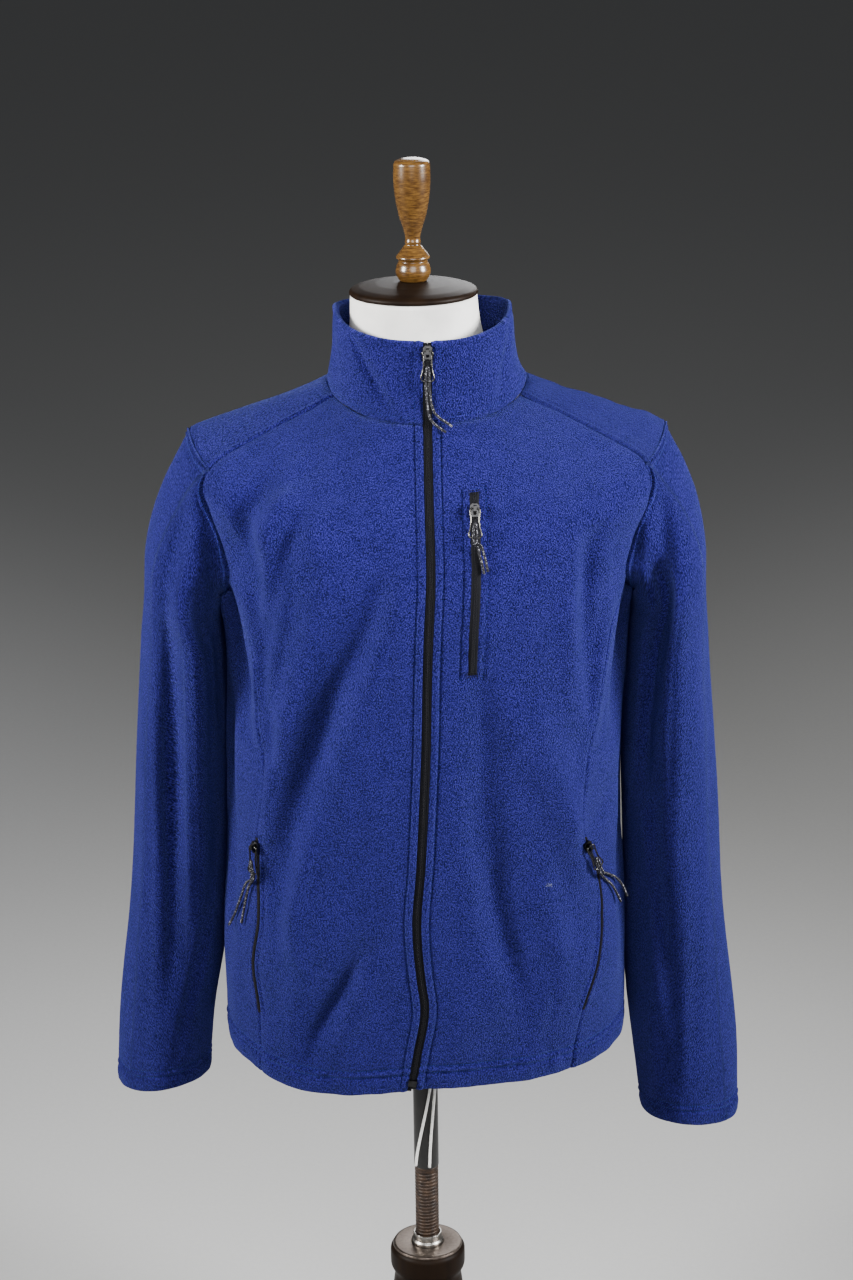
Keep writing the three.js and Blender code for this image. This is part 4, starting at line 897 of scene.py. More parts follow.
def finish(name):
    """The finish of that name, made when it is first asked for."""
    if name in MATERIALS:
        return MATERIALS[name]
    scene = bpy.context.scene
    cloth, metal, wood = scene.jacket_cloth, scene.jacket_hardware, scene.jacket_stand
    makers = {
        "fleece": (fleece, cloth.fleece_color, cloth.nap_depth),
        "zip tape": (woven, cloth.tape_color, 0.0009, 0.0002),
        "zip coil": (woven, cloth.coil_color, 0.0011, 0.0001, 0.42),
        "sewing thread": (woven, cloth.thread_color, 0.0006, 0.00008, 0.55),
        "gunmetal": (worn_metal, metal.metal_color, 0.3),
        "bright wire": (worn_metal, metal.wire_color, 0.26),
        "pull cord": (flecked_cord, metal.cord_color, metal.fleck_color, 0.66),
        "drawstring": (flecked_cord, (0.72, 0.71, 0.68), (0.86, 0.85, 0.82), 0.5),
        "form cover": (plain_cover, wood.cover_color),
        "dark wood": (lacquered_wood, wood.dark_wood, wood.dark_wood_light, 0.5, 0.12, 0.0),
        "finial wood": (lacquered_wood, (0.04, 0.017, 0.0036), (0.135, 0.067, 0.0148), 0.3, 7.0, 0.45),
        "dark post": (coarse_metal, (0.003, 0.0028, 0.0026), (0.008, 0.007, 0.006), 0.4, 0.0),
        "browned rod": (coarse_metal, (0.014, 0.007, 0.004), (0.05, 0.027, 0.014), 0.45, 0.3),
        "steel": (worn_metal, (0.42, 0.4, 0.37), 0.3),
        "lint": (plain_cover, (0.14, 0.16, 0.26)),
        "pale floor": (coarse_metal, (0.6, 0.6, 0.595), (0.62, 0.62, 0.615), 0.9, 0.0),
        "column plate": (worn_metal, (0.16, 0.13, 0.11), 0.38),
    }
    maker, *values = makers[name]
    MATERIALS[name] = maker(name, *values)
    return MATERIALS[name]


# Places on the jacket
def zip_place(side, height, distance, lift):
    """Place by the front zip. Height is 0 to 1 on the body and 1 to 2 on the collar."""
    side, height, distance, lift = np.broadcast_arrays(side, height, distance, lift)
    low = np.clip(height, 0, 1)
    body = body_point(side, around_at(RINGS, low, distance), low, lift)
    level = np.clip(height - 1, 0, 1)
    around = around_at(COLLAR_RINGS, level, distance)
    normal = ring_normal(COLLAR_RINGS, side, around, level)
    on_collar = ring_point(COLLAR_RINGS, side, around, level) + normal * lift[..., None]
    return np.where((height <= 1)[..., None], body, on_collar)


CLOTH = {}  # finished outer grids of the cloth, in millimetres, with their uv


def distance_to(points, line):
    """Shortest distance from each point of a grid to a line, whose points are a millimetre apart."""
    run = arc(line, 0)
    fine = points_at(line, run, np.arange(0, run[-1], 1.0))
    square = (fine**2).sum(1)
    near = [
        (block**2).sum(1) + (square[None] - 2 * block @ fine.T).min(1)
        for block in np.array_split(points.reshape(-1, 3), 30)
    ]
    return np.sqrt(np.maximum(np.concatenate(near), 0)).reshape(points.shape[:2])


def seam_relief(distance, welt=0.0, dip=1.5):
    """The cloth rolls down into a seam, minus the dip times a bell of the distance. Where the
    seam's allowances lie under it, a welt stands up beside it, with a trough at its far side."""
    total = -dip * gauss(distance, 1.7) + 0.3 * gauss(distance - 9, 6)
    total += welt * smooth((distance - 1.0) / 1.6) * smooth((WELT - distance) / 2.4)
    return total - 0.5 * welt * gauss(distance - WELT - 0.2, 1.2)


def rows_relief(distance, lines, depth, width):
    """A shallow trough along each line of stitching."""
    return -sum(depth * gauss(distance - at, width) for at in lines)


def drape(base, normals):
    """Height of the folds of DRAPE at each grid point. Each fold is a bell of the distance to
    its line, seen from the front, that fades towards the line's ends and where the cloth turns
    away from the front."""
    total = np.zeros(base.shape[:2])
    flat = base[..., (0, 2)]
    for height, width, line in DRAPE:
        way = resample([(x, 0.0, z) for x, z in line], DRAPE_POINTS)[:, (0, 2)]
        low, high = way.min(0) - DRAPE_REACH * width, way.max(0) + DRAPE_REACH * width
        near = np.all((flat > low) & (flat < high), -1)
        if near.any():
            square = ((flat[near][:, None] - way[None]) ** 2).sum(-1)
            along = np.clip(square.argmin(1) / (len(way) - 1), *DRAPE_ENDS)
            total[near] += height * np.exp(-square.min(1) / width**2) * swell(along, 0.5)
    return total * smooth((0.2 - normals[..., 1]) / 0.5)


def dress(name, base, wall, relief, seed, nodes, closed=False, normals=None):
    """Adds relief, nap and hanging folds to a grid of cloth, gives it a wall and makes it a
    piece."""
    if normals is None:
        normals = grid_normals(base, closed)
    if np.mean(np.sum(normals * (base - base.mean((0, 1))), -1)) < 0:
        normals = -normals
    uv = np.stack([arc(base, 1), arc(base, 0)], -1)
    columns = base.shape[1] - int(closed)
    nap = cloth_noise((len(base), columns), seed) * bpy.context.scene.jacket_cloth.nap_relief / MM
    if closed:
        nap = np.concatenate([nap, nap[:, :1]], 1)
    hung = drape(base, normals)
    outer = base + normals * (relief(uv) + nap + hung)[..., None]
    inner = base + normals * (hung - wall)[..., None]
    CLOTH[name] = (outer, normals, uv)
    points, faces, flat = shell(outer[:, :columns], inner[:, :columns], uv[:, :columns], closed)
    obj = put_mesh(name, points, facing_out(points, faces), finish("fleece"), uv=flat)
    finish_piece(obj, "upper", nodes)


def on_cloth(name, row, column, lift=0.0):
    """Points and normals between a finished grid's points, by fractions of its rows and columns."""
    points, normals, _ = CLOTH[name]
    rows, columns = points.shape[:2]
    row, column, lift = np.broadcast_arrays(row, column, lift)
    r = np.clip(row, 0, rows - 1.001)
    c = np.clip(column, 0, columns - 1.001)
    i, j = r.astype(int), c.astype(int)
    f, g = (r - i)[..., None], (c - j)[..., None]

    def between(values):
        low = lerp(values[i, j], values[i, j + 1], g)
        return lerp(low, lerp(values[i + 1, j], values[i + 1, j + 1], g), f)

    normal = unit(between(normals))
    return between(points) + normal * lift[..., None], normal


def line_up(name, levels, level, from_edge, from_last=False):
    """Rows and columns of a line that keeps a distance from a panel's first or last column."""
    _, _, uv = CLOTH[name]
    row = np.interp(level, levels, np.arange(len(levels)))
    i = np.clip(row.astype(int), 0, len(levels) - 2)
    u = lerp(uv[i, :, 0], uv[i + 1, :, 0], (row - i)[:, None])
    at = u[:, -1] - from_edge if from_last else np.broadcast_to(from_edge, len(row))
    j = np.clip((u < at[:, None]).sum(1) - 1, 0, u.shape[1] - 2)
    k = np.arange(len(row))
    g = (at - u[k, j]) / (u[k, j + 1] - u[k, j])
    return row, j + g


def line_across(name, height, columns, from_top=False):
    """Rows of a line that keeps a height above a grid's first row, or below its last."""
    v = CLOTH[name][2][..., 1]
    j = np.clip(np.round(columns).astype(int), 0, v.shape[1] - 1)
    goal = v[-1, j] - height if from_top else np.full(len(j), height)
    return np.array([np.interp(at, v[:, c], np.arange(len(v))) for at, c in zip(goal, j)])


# Pieces of cloth
HEM_ROWS, CUFF_ROWS = (18.5, 26.5), (15.0, 21.0)  # rows of stitching above hem and cuff
ZIP_STITCH = 7.6
CHEST_U, CHEST_HALF, CHEST_BOX = 39.0, 4.6, 11.7
CHEST_LEVELS = (0.562, 0.932)
CHEST_ENDS = (CHEST_LEVELS[0] - 0.006, CHEST_LEVELS[1] + 0.004)  # of its box of stitching
HAND_LEVELS, HAND_HALF, HAND_SOFT = (0.075, 0.318), 1.7, 0.012
ARM_COLUMNS, SLEEVE_ROWS = 150, 162


def columns_between(count, closeness):
    """Shares from 0 to 1 that lie closer together towards both ends."""
    t = np.linspace(0, 1, count)
    return t - closeness * np.sin(2 * np.pi * t) / (2 * np.pi)


def window(x, low, high, soft):
    """One between two values, with soft ends."""
    return smooth((x - low) / soft) * smooth((high - x) / soft)


def wall_at(level):
    return lerp(HEM_WALL, WALL, smooth((level - 0.03) / 0.03))


HEM_LEVELS = np.linspace(0, 0.052, 42)


def above_hem(levels):
    """The close rows of the hem, then the levels above them."""
    return np.concatenate([HEM_LEVELS, levels[levels > 0.054]])


BODY_LEVELS = above_hem(panel_levels(116, 56, 24))
SIDE_LEVELS = above_hem(np.linspace(0, SIDE_TOP, 130))


def hem_rows(distance, rows):
    """Two troughs of stitching round a hem, the cloth swollen between them and below them."""
    low, high = rows
    total = rows_relief(distance, rows, 1.9, 1.5) + 0.8 * gauss(distance - (low + high) / 2, 3)
    return total + 0.9 * gauss(distance - 0.5 * low, 0.35 * low)


def hem_relief(u, v, seed):
    """Two rows of stitching at the hem and the small puckers that they draw."""
    return hem_rows(v, HEM_ROWS) + 0.6 * gauss(v - 14, 16) * ripple(u, v, seed, 22, 0.9)


def unevenness(u, v, seed, heights, waves):
    """Slow and fine waves of the hung cloth."""
    slow, fine = (h * ripple(u, v, s, w) for h, s, w in zip(heights, (seed, seed + 20), waves))
    return slow + fine


def pocket_lip(distance):
    """The welt beside a hand pocket's zip: a round lip, and a trough of stitching behind it."""
    return gauss(distance - 3.8, 2.2) - 1.2 * gauss(distance, 1.7) + rows_relief(distance, [7.5], 0.6, 1.2)


def hand_pocket(level):
    """One beside a hand pocket's zip, with soft ends."""
    return window(level, HAND_LEVELS[0] - HAND_SOFT, HAND_LEVELS[1] + HAND_SOFT, HAND_SOFT)


def zip_edge(u):
    """The cloth rolled over beside the front zip, with a small dip at the zip's edge."""
    return 1.4 * gauss(u - 3.6, 2.6) - 0.3 * gauss(u, 1.0)


def chest_pocket(u, level):
    """Relief of the chest pocket, a sunk opening with lips inside a stitched box whose ends are
    pressed in, and how far it holds the cloth around it flat."""
    box = window(level, CHEST_LEVELS[0] - 0.01, CHEST_LEVELS[1] + 0.008, 0.006)
    off = np.abs(u - CHEST_U)
    total = box * (0.8 * gauss(off - 7.6, 2.6) - 0.9 * (1 - smooth((off - 3.4) / 1.4)))
    total += box * rows_relief(off, [CHEST_BOX], 2.1, 1.6)
    ends = np.minimum(*(np.abs(level - end) for end in CHEST_ENDS))
    total -= 1.3 * gauss(ends, 0.0032) * (1 - smooth((off - CHEST_BOX) / 1.5))
    return total, box * (1 - smooth((off - 14) / 16))


def front_panel(side):
    """Front from the zip to the curved seam, armhole and shoulder seam."""
    level = BODY_LEVELS[:, None]
    edges = around_at(RINGS, level, FRONT_EDGE), front_edge(side, level) - SEAM_S
    around = lerp(*edges, columns_between(106, 0.62)[None])
    share = np.broadcast_to(level, around.shape)
    base = body_point(float(side), around, share)
    sewn = distance_to(base, base[:, -1])
    neck = distance_to(base, base[-1])
    pocket = hand_pocket(share)

    def relief(uv):
        u, v = uv[..., 0], uv[..., 1]
        dip = lerp(0.7, 0.9, smooth((share - 0.62) / 0.05))
        calm = smooth((u - 12) / 22) * (1 - pocket * (1 - smooth((sewn - 6) / 16)))
        total = hem_relief(u, v, 5 + side) + (1 - pocket) * seam_relief(sewn, dip=dip)
        total += seam_relief(neck, dip=0.3) + pocket * pocket_lip(sewn) + zip_edge(u)
        total += rows_relief(u, [ZIP_STITCH], 1.6, 1.1) * window(v, 4, 2000, 6)
        if side > 0:
            chest, held = chest_pocket(u, share)
            total += chest
            calm = calm * (1 - held)
        return total + calm * unevenness(u, v, 11 + side, (1.0, 0.4), (95, 34))

    name = SIDE_NAMES[side]
    out = ring_normal(RINGS, float(side), around, share)
    dress(f"cloth_front_{name}", base, wall_at(level), relief, 100 + side, [f"front_{name}"], normals=out)


def back_panel():
    """Back from side seam to side seam, up to the shoulder seams and the collar."""
    turn = 2 * columns_between(163, 0.5)[None] - 1
    level = BODY_LEVELS[:, None]
    side = np.where(turn < 0, -1.0, 1.0) + 0 * level
    around = 1 - np.abs(turn) * (1 - back_edge(level) - SEAM_S)
    share = np.broadcast_to(level, around.shape)
    base = body_point(side, around, share)
    sewn = np.minimum(distance_to(base, base[:, 0]), distance_to(base, base[:, -1]))
    neck = distance_to(base, base[-1])

    def relief(uv):
        u, v = uv[..., 0], uv[..., 1]
        yoke = smooth((share - ARM_TOP + 0.01) / 0.02)
        total = lerp(seam_relief(sewn), seam_relief(sewn, 1.4, 1.2), yoke) + seam_relief(neck, dip=0.3)
        total += hem_relief(u, v, 9)
        return total + smooth(sewn / 25) * unevenness(u, v, 13, (1.2, 0.4), (110, 38))

    out = ring_normal(RINGS, side, around, share)
    dress("cloth_back", base, wall_at(level), relief, 110, ["back"], normals=out)


def side_panel(side):
    """Side panel from the curved front seam to the side seam, hem to underarm."""
    k = columns_between(52, 0.6)[None]
    level = SIDE_LEVELS[:, None]
    top = arm_level(arm_share_under(lerp(FRONT_SIDE_TOP, BACK_SIDE_TOP, k)))
    around = lerp(princess(side, level) + SEAM_S, back_side_seam(level) - SEAM_S, k)
    place = level / SIDE_TOP * (top - SEAM_T)
    base = body_point(float(side), around, place)
    front, back, arm = (distance_to(base, line) for line in (base[:, 0], base[:, -1], base[-1]))
    pocket = hand_pocket(place)

    def relief(uv):
        u, v = uv[..., 0], uv[..., 1]
        total = (1 - pocket) * seam_relief(front, 0.4, 0.7) + pocket * pocket_lip(front)
        total += seam_relief(back) + seam_relief(arm)
        calm = smooth((u - 6 * pocket) / 18) * smooth(arm / 20)
        total += calm * unevenness(u, v, 15 + side, (1.0, 0.3), (80, 30))
        return total + hem_relief(u, v, 17 + side)

    name = SIDE_NAMES[side]
    out = ring_normal(RINGS, float(side), around, place)
    dress(f"cloth_side_{name}", base, wall_at(level), relief, 120 + side, [f"side_{name}"], normals=out)


def armhole_loop(side):
    """The armhole's edge, down the front, under and up the back, at even steps of length and a
    touch inside the body's."""
    rows = lerp(SIDE_TOP_SHARE, 1, 1 - np.linspace(1, 0, 400) ** 3)
    down = np.stack([arm_front(rows[::-1]), rows[::-1]], 1)
    under = np.linspace(FRONT_SIDE_TOP, BACK_SIDE_TOP, 200)[1:-1]
    below = np.stack([under, arm_share_under(under)], 1)
    up = np.stack([arm_back(rows), rows], 1)
    loop = np.concatenate([down, below, up])
    run = arc(body_point(float(side), loop[:, 0], arm_level(loop[:, 1])), 0)
    around, share = points_at(loop, run, np.linspace(0, run[-1], ARM_COLUMNS, endpoint=False)).T
    return lerp(around, 0.49, 0.006), arm_level(lerp(share, 0.5, 0.006))


def sleeve_grid(side):
    """Sleeve as sections down the arm: an oval of the table's half width and depth, tilted and
    folded, that blends at the top into the armhole's edge."""
    edge = body_point(float(side), *armhole_loop(side))
    count = len(edge)
    top, low = int(np.argmax(edge[:, 2])), int(np.argmin(edge[:, 2]))
    steps = np.linalg.norm(np.roll(edge, -1, 0) - edge, axis=1)
    run = np.concatenate([[0], np.cumsum(np.roll(steps, -top))[:-1]])
    total = steps.sum()
    at_low = run[(low - top) % count]
    turn = np.where(run <= at_low, 0.5 * run / at_low, 0.5 + 0.5 * (run - at_low) / (total - at_low))
    turns = np.roll(turn, top)
    even = np.roll(np.arange(count) / count, top)
    share = (np.arange(SLEEVE_ROWS + 1) / SLEEVE_ROWS) ** 1.15
    share = np.concatenate([share[share < 0.938], np.linspace(0.94, 1, 38)])[:, None]
    turn = lerp(turns[None], even[None], smooth((share - 0.05) / 0.3))
    fold = np.zeros(turn.shape)
    for s, t0, s0, t1, s1, width, depth in SLEEVE_FOLDS + SLEEVE_CREASES:
        if s == side:
            k = (share - s0) / (s1 - s0)
            fold += depth * swell(k, 0.6) * bell(turn - lerp(t0, t1, k), width)
    x, y, z, half, depth, tilt = (
        curve(SLEEVES[side], key, share, "share") for key in ("x", "y", "z", "half", "depth", "tilt")
    )
    across = (half + fold) * np.cos(2 * np.pi * turn)
    forward = (depth + fold) * np.sin(2 * np.pi * turn)
    tilt = np.radians(tilt)
    x = side * (x + across * np.sin(tilt))
    points = np.stack([x, y - forward, z + across * np.cos(tilt)], -1)
    points = lerp(points, edge[None], (1 - smooth(share / CAP_SHARE))[..., None])
    close = np.concatenate([points, points[:, :1]], 1)
    return close, share, np.concatenate([turn, turn[:, :1] + 1], 1)


def sleeve(side):
    """Sleeve with its rolled seam at the armhole, the seam under the arm and the turned cuff."""
    base, share, turn = sleeve_grid(side)
    turn = np.mod(turn, 1)
    wrap = 2 * np.pi * turn

    def relief(uv):
        u, v = uv[..., 0], uv[..., 1]
        from_cuff = v[-1:] - v
        total = seam_relief(v, 1.6, 0.9) + hem_rows(from_cuff, CUFF_ROWS)
        total += 5.5 * smooth(v / 7) * gauss(v - 18, 26) * gauss(turn - 0.5, 0.14)
        total -= 0.9 * gauss((turn - 0.5) * u[:, -1:], 3) * smooth(v / 20)
        pucker = np.sin(9 * wrap + 2 * np.sin(2 * wrap)) + 0.6 * np.sin(14 * wrap + side)
        total += 0.4 * gauss(from_cuff - 14, 16) * pucker
        slow = np.sin(3 * wrap + v / 47) + np.sin(2 * wrap - v / 61 + side) + 0.7 * np.sin(5 * wrap + v / 33)
        return total + 0.75 * smooth(v / 40) * slow

    name = SIDE_NAMES[side]
    wall = lerp(WALL, HEM_WALL, smooth((share - 0.94) / 0.04))
    dress(f"cloth_sleeve_{name}", base, wall, relief, 130 + side, [f"sleeve_{name}"], closed=True)


# Slanting folds of the collar: from its last edge or its first, distance from that edge at the
# top and at the bottom, half width and height, mm
COLLAR_FOLDS = (
    (True, 76, 26, 9, -3.2), (True, 58, 12, 8, 1.6), (False, 98, 70, 10, -2.2),
    (False, 84, 56, 9, 1.4), (True, 120, 96, 12, -1.6),
)


def collar():
    """Stand collar in one band, from the right of the zip round the back to its left."""
    rows = np.linspace(0, 1, 40)[:, None]
    start = around_at(COLLAR_RINGS, 0.0, FRONT_EDGE)
    half = np.linspace(start, 1, 100)
    around = np.concatenate([half, half[-2::-1]])[None]
    side = np.concatenate([np.ones(100), -np.ones(99)])[None]
    edge = around_at(COLLAR_RINGS, rows, FRONT_EDGE)
    place = around + (edge - start) * (1 - (around - start) / (1 - start))

    def relief(uv):
        u, v = uv[..., 0], uv[..., 1]
        last, tall = u[:, -1:] - u, v[-1:]
        total = seam_relief(v, 0.5, 0.4) + 1.1 * gauss(tall - v, 5)
        for edge in (u, last):
            total += zip_edge(edge) + rows_relief(edge, [ZIP_STITCH], 1.6, 1.1)
        for from_last, top, bottom, width, depth in COLLAR_FOLDS:
            away = (last if from_last else u) - lerp(bottom, top, v / tall)
            total += depth * swell(v / tall, 0.7) * bell(away, width)
        calm = smooth((u - 8) / 20) * smooth((last - 8) / 20)
        return total + calm * 0.7 * ripple(u, v, 41, 60, 1.2)

    wall = COLLAR_WALL + 1.2 * smooth((rows - 0.8) / 0.15)
    dress("cloth_collar", ring_point(COLLAR_RINGS, side, place, rows), wall, relief, 140, ["collar"])


# Zips
def ribbon(name, grid, normals, thick, nodes):
    """A thin band of woven tape: a grid of points with a wall under it."""
    uv = np.stack([arc(grid, 1), arc(grid, 0)], -1)
    points, faces, flat = shell(grid, grid - normals * thick, uv)
    obj = put_mesh(name, points, facing_out(points, faces), finish("zip tape"), uv=flat)
    finish_piece(obj, "upper", nodes)


def coil(name, path, across, out, radius, rise):
    """Zip coil: a wire that winds round a line, flattened, one turn every pitch."""
    run = arc(path, 0)
    turns = int(run[-1] * MM / bpy.context.scene.jacket_cloth.coil_pitch)
    t = np.linspace(0, run[-1], turns * 6)
    angle = np.linspace(0, 2 * np.pi * turns, turns * 6)[:, None]
    centre, beside, above = (points_at(values, run, t) for values in (path, across, out))
    centre = centre + beside * radius * np.cos(angle) + above * rise * np.sin(angle)
    finish_piece(put_tube(name, centre, 0.3, finish("zip coil"), sides=4), "upper")


def front_zip():
    """Both tapes of the front zip, hem to collar, with their coils between them."""
    heights = np.concatenate([np.linspace(0, 1, 260)[:-1], np.linspace(1, 2, 50)])
    for side, name in SIDE_NAMES.items():
        distance = np.linspace(0.35, TAPE_EDGE, 6)
        grid = zip_place(float(side), heights[:, None], distance[None], -TAPE_SUNK)
        normals = grid_normals(grid)
        normals *= np.sign(np.mean(normals[..., 1])) * -1
        ribbon(f"front_tape_{name}", grid, normals, 1.0, [f"zip_tape_{name}"])
        middle = zip_place(float(side), heights, 1.15, -0.35)
        coil(f"front_coil_{name}", middle, unit(grid[:, 3] - grid[:, 0]), normals[:, 1], 1.0, 0.62)
        cord = zip_place(float(side), heights, 3.3, -0.62)
        line = put_tube(f"front_cord_{name}", cord, 0.42, finish("zip tape"), sides=6)
        finish_piece(line, "upper")


def pocket_zip(name, side, levels, from_edge, from_last, lift, step, half, node):
    """A pocket's zip on a front: tape on the cloth and a pair of coils along its middle. The
    direction across it comes from the grid's points a step of columns away."""
    panel = f"cloth_front_{SIDE_NAMES[side]}"
    row, column = line_up(panel, BODY_LEVELS, levels, from_edge, from_last)
    centre, normal = on_cloth(panel, row, column, lift)
    across = (on_cloth(panel, row, column + step, lift)[0] - centre) * side * np.sign(step)
    across = unit(across - normal * np.sum(across * normal, -1, keepdims=True))
    k = np.linspace(-half, half, 9)
    crown = 0.35 - 0.35 * (k / half) ** 2
    grid = centre[:, None] + across[:, None] * k[None, :, None] + normal[:, None] * crown[None, :, None]
    ribbon(f"{name}_tape", grid, np.broadcast_to(normal[:, None], grid.shape), 0.8, [node])
    for way, end in ((1, "a"), (-1, "b")):
        line = centre + across * way * 0.85 + normal * 0.75
        coil(f"{name}_coil_{end}", line, across, normal, 0.75, 0.5)


def pocket_zips():
    """The chest pocket's zip, and one in each curved front seam."""
    chest, hand = np.linspace(*CHEST_LEVELS, 110), np.linspace(*HAND_LEVELS, 90)
    pocket_zip("chest", 1, chest, CHEST_U, False, 1.0, 1, CHEST_HALF, "chest_pocket_tape")
    for side, name in SIDE_NAMES.items():
        node = f"hand_pocket_tape_{name}"
        pocket_zip(f"hand_{name}", side, hand, 0.2, True, 1.1, -2, HAND_HALF, node)


# Hardware, cords and sewing
CHEST_PANEL = "cloth_front_right"
SLEEVE_PIECES = ("cloth_sleeve_right", "cloth_sleeve_left")
SNAG_LEVEL, SNAG_FROM_ZIP = 0.2615, 130.3  # place of the pulled tuft
PULL_UP = {
    "front": (0.0134, 0.1327, 0.9911),
    "chest": (0.0064, 0.4324, 0.9017),
    "hand_right": (-0.3375, -0.2975, 0.8931),
    "hand_left": (0.0371, -0.0181, 0.9991),
}
PULL_LOW = -30.15  # the wire's underside below the pull's hinge
CORD_SPREAD = 1.55
CORD_ROUTES = {
    "front_a": [
        (11.1, -80, 1258), (12.1, -79.8, 1245), (13.9, -81, 1234),
        (18.2, -82.8, 1227.5), (24, -84, 1223), (29.7, -84.8, 1219),
    ],
    "front_b": [
        (14.6, -80, 1258), (16, -80, 1246), (19.3, -81.8, 1237.5),
        (25, -82.6, 1231.7), (30.8, -83, 1228), (35.6, -83.5, 1224.5),
    ],
    "chest_a": [(58.4, -129.6, 1116), (60.4, -130.6, 1108.5), (62.4, -132.4, 1101), (64.6, -133.2, 1090)],
    "chest_b": [(62, -129.6, 1117), (64.2, -130.2, 1110), (66.2, -131.8, 1102.5), (68.2, -132.6, 1092)],
    "hand_right_a": [(187.5, -74, 744), (196, -62, 731), (201.5, -55, 719), (206, -52, 708)],
    "hand_right_b": [(191, -69, 747), (200.5, -54, 736), (208, -46, 724), (213, -45, 711)],
    "hand_left_a": [(-180.6, -79.5, 746), (-187.5, -70, 725), (-195, -60, 703), (-201.5, -52, 688)],
    "hand_left_b": [(-176.7, -84, 746), (-181.5, -78.5, 727), (-184.5, -75, 712), (-187, -72, 699)],
}
DRAWSTRINGS = {
    "right": [
        (17, -17, 574.6), (17, -19, 560), (15, -20.5, 540), (13, -20, 515), (11, -19, 485),
        (8, -18.5, 450), (5.5, -18.5, 420), (4, -19, 396), (3.4, -19.6, 382),
    ],
    "left": [
        (10, -18, 574.6), (10.5, -20, 560), (10.5, -21, 540), (9, -21.5, 515), (6, -21.5, 485),
        (0, -21.5, 450), (-6, -20.5, 420), (-10, -19, 398), (-11.6, -18.6, 384),
    ],
}


def pull_frame(name):
    """Hinge point in millimetres and the directions across, up and out of a zip's pull."""
    joint = next(j for j in frame["joints"] if j["name"] == f"{name}_pull_hinge")
    across = -np.array(joint["axis"], float)
    up = np.array(PULL_UP[name])
    return np.array(joint["pos_m"], float) / MM, across, up, np.cross(across, up)


def at_pull(name, points):
    """Points given across, up and out of a pull, as places on the part."""
    pivot, across, up, out = pull_frame(name)
    p = np.asarray(points, float)
    return pivot + p[:, :1] * across + p[:, 1:2] * up + p[:, 2:] * out


def wire_pull(name):
    """Hourglass loop of round wire: a closed smooth line carried round by a circle."""
    half = np.array([
        (0, 0), (2.6, -0.1), (4.3, -1.2), (4.75, -3.4), (4.35, -6.5), (4.0, -10), (3.95, -14),
        (4.3, -18.5), (5.3, -22.6), (6.15, -25.6), (5.9, -28), (3.6, -29.3), (0, -29.4),
    ])
    loop = np.concatenate([half, half[-2:0:-1] * [-1, 1]])
    closed = np.concatenate([loop[-3:], loop, loop[:4]])
    line = resample(np.column_stack([closed, np.zeros(len(closed))]), 140)
    run = arc(line, 0)
    begin = run[np.argmin(np.linalg.norm(line[:70] - [0, 0, 0], axis=1))]
    span = np.linalg.norm(np.diff(np.concatenate([loop, loop[:1]]), axis=0), axis=1).sum()
    line = points_at(line, run, np.linspace(begin, begin + span, 97)[:-1])
    line[:, 2] = 0.0
    points, faces = tube(at_pull(name, line), 0.88, 10, closed=True)
    obj = put_mesh(f"{name}_wire", points, facing_out(points, halves(faces)), finish("bright wire"))
    finish_piece(obj, f"{name}_pull_body", [f"{name}_pull"])


def cord_path(name, end):
    """A pull cord's route: straight out of the wire, then its table's points, smoothly."""
    across = -CORD_SPREAD if end == "a" else CORD_SPREAD
    low = PULL_LOW - 0.3
    first = at_pull(name, [(across, low, 0), (across, low - 3, 0)])
    return resample(np.concatenate([first, CORD_ROUTES[f"{name}_{end}"]]), 40)


def pull_cords(name):
    """Two flecked ends from each pull, with the loop that ties them to the wire."""
    body = f"{name}_pull_body"
    d = bpy.context.scene.jacket_hardware.cord_diameter / MM
    k = np.linspace(0, np.pi, 41)
    rise = np.sin(k) ** 0.6
    out = 2.4 * np.sin(np.minimum(2 * rise, 1.6))
    arch = np.column_stack([-CORD_SPREAD * np.cos(k), PULL_LOW - 0.2 + 15 * rise, out])
    loop = put_tube(f"{name}_cord_loop", at_pull(name, arch), d * 0.48, finish("pull cord"), sides=8)
    finish_piece(loop, body)
    for end in "ab":
        path = cord_path(name, end)
        length = arc(path, 0)[-1]
        taper = np.interp(np.linspace(0, 1, len(path)), [0, 0.93, 1], [1, 1, 1.08])
        obj = put_tube(f"{name}_cord_{end}", path, d / 2 * taper, finish("pull cord"), sides=10)
        finish_piece(obj, body, [f"{name}_pull_cord_{end}"])


def drawstring(name):
    path = resample(DRAWSTRINGS[name], 60)
    obj = put_tube(f"drawstring_{name}_end", path, 1.5, finish("drawstring"), sides=10)
    finish_piece(obj, "upper", [f"drawstring_{name}"])
    arc(path, 0)[-1] * MM


def stitches(name, runs, material="sewing thread", size=(1.9, 0.55, 0.5)):
    """Rows of stitches: small pointed grains, one every pitch along each run of places."""
    pitch = bpy.context.scene.jacket_cloth.stitch_pitch / MM
    length, width, height = np.array(size) / 2
    k = np.arange(4)
    n = (k + 1) % 4 + 1
    grain_faces = np.concatenate([np.stack([0 * k, n, k + 1], 1), np.stack([k + 1, n, 0 * k + 5], 1)])
    grains = []
    for line, normal in runs:
        run = arc(line, 0)
        t = np.arange(pitch / 2, run[-1], pitch)
        p = points_at(line, run, t)
        out = unit(points_at(normal, run, t))
        along = unit(points_at(line, run, t + 0.5) - p + 1e-9)
        aside = np.cross(along, out) * width
        rim = [p + aside, p + out * height, p - aside, p - out * height]
        grains.append(np.stack([p - along * length, *rim, p + along * length], 1))
    points = np.concatenate(grains)
    faces = grain_faces[None] + 6 * np.arange(len(points))[:, None, None]
    points, faces = points.reshape(-1, 3), faces.reshape(-1, 3)
    finish_piece(put_mesh(name, points, facing_out(points, faces), finish(material)), "upper")


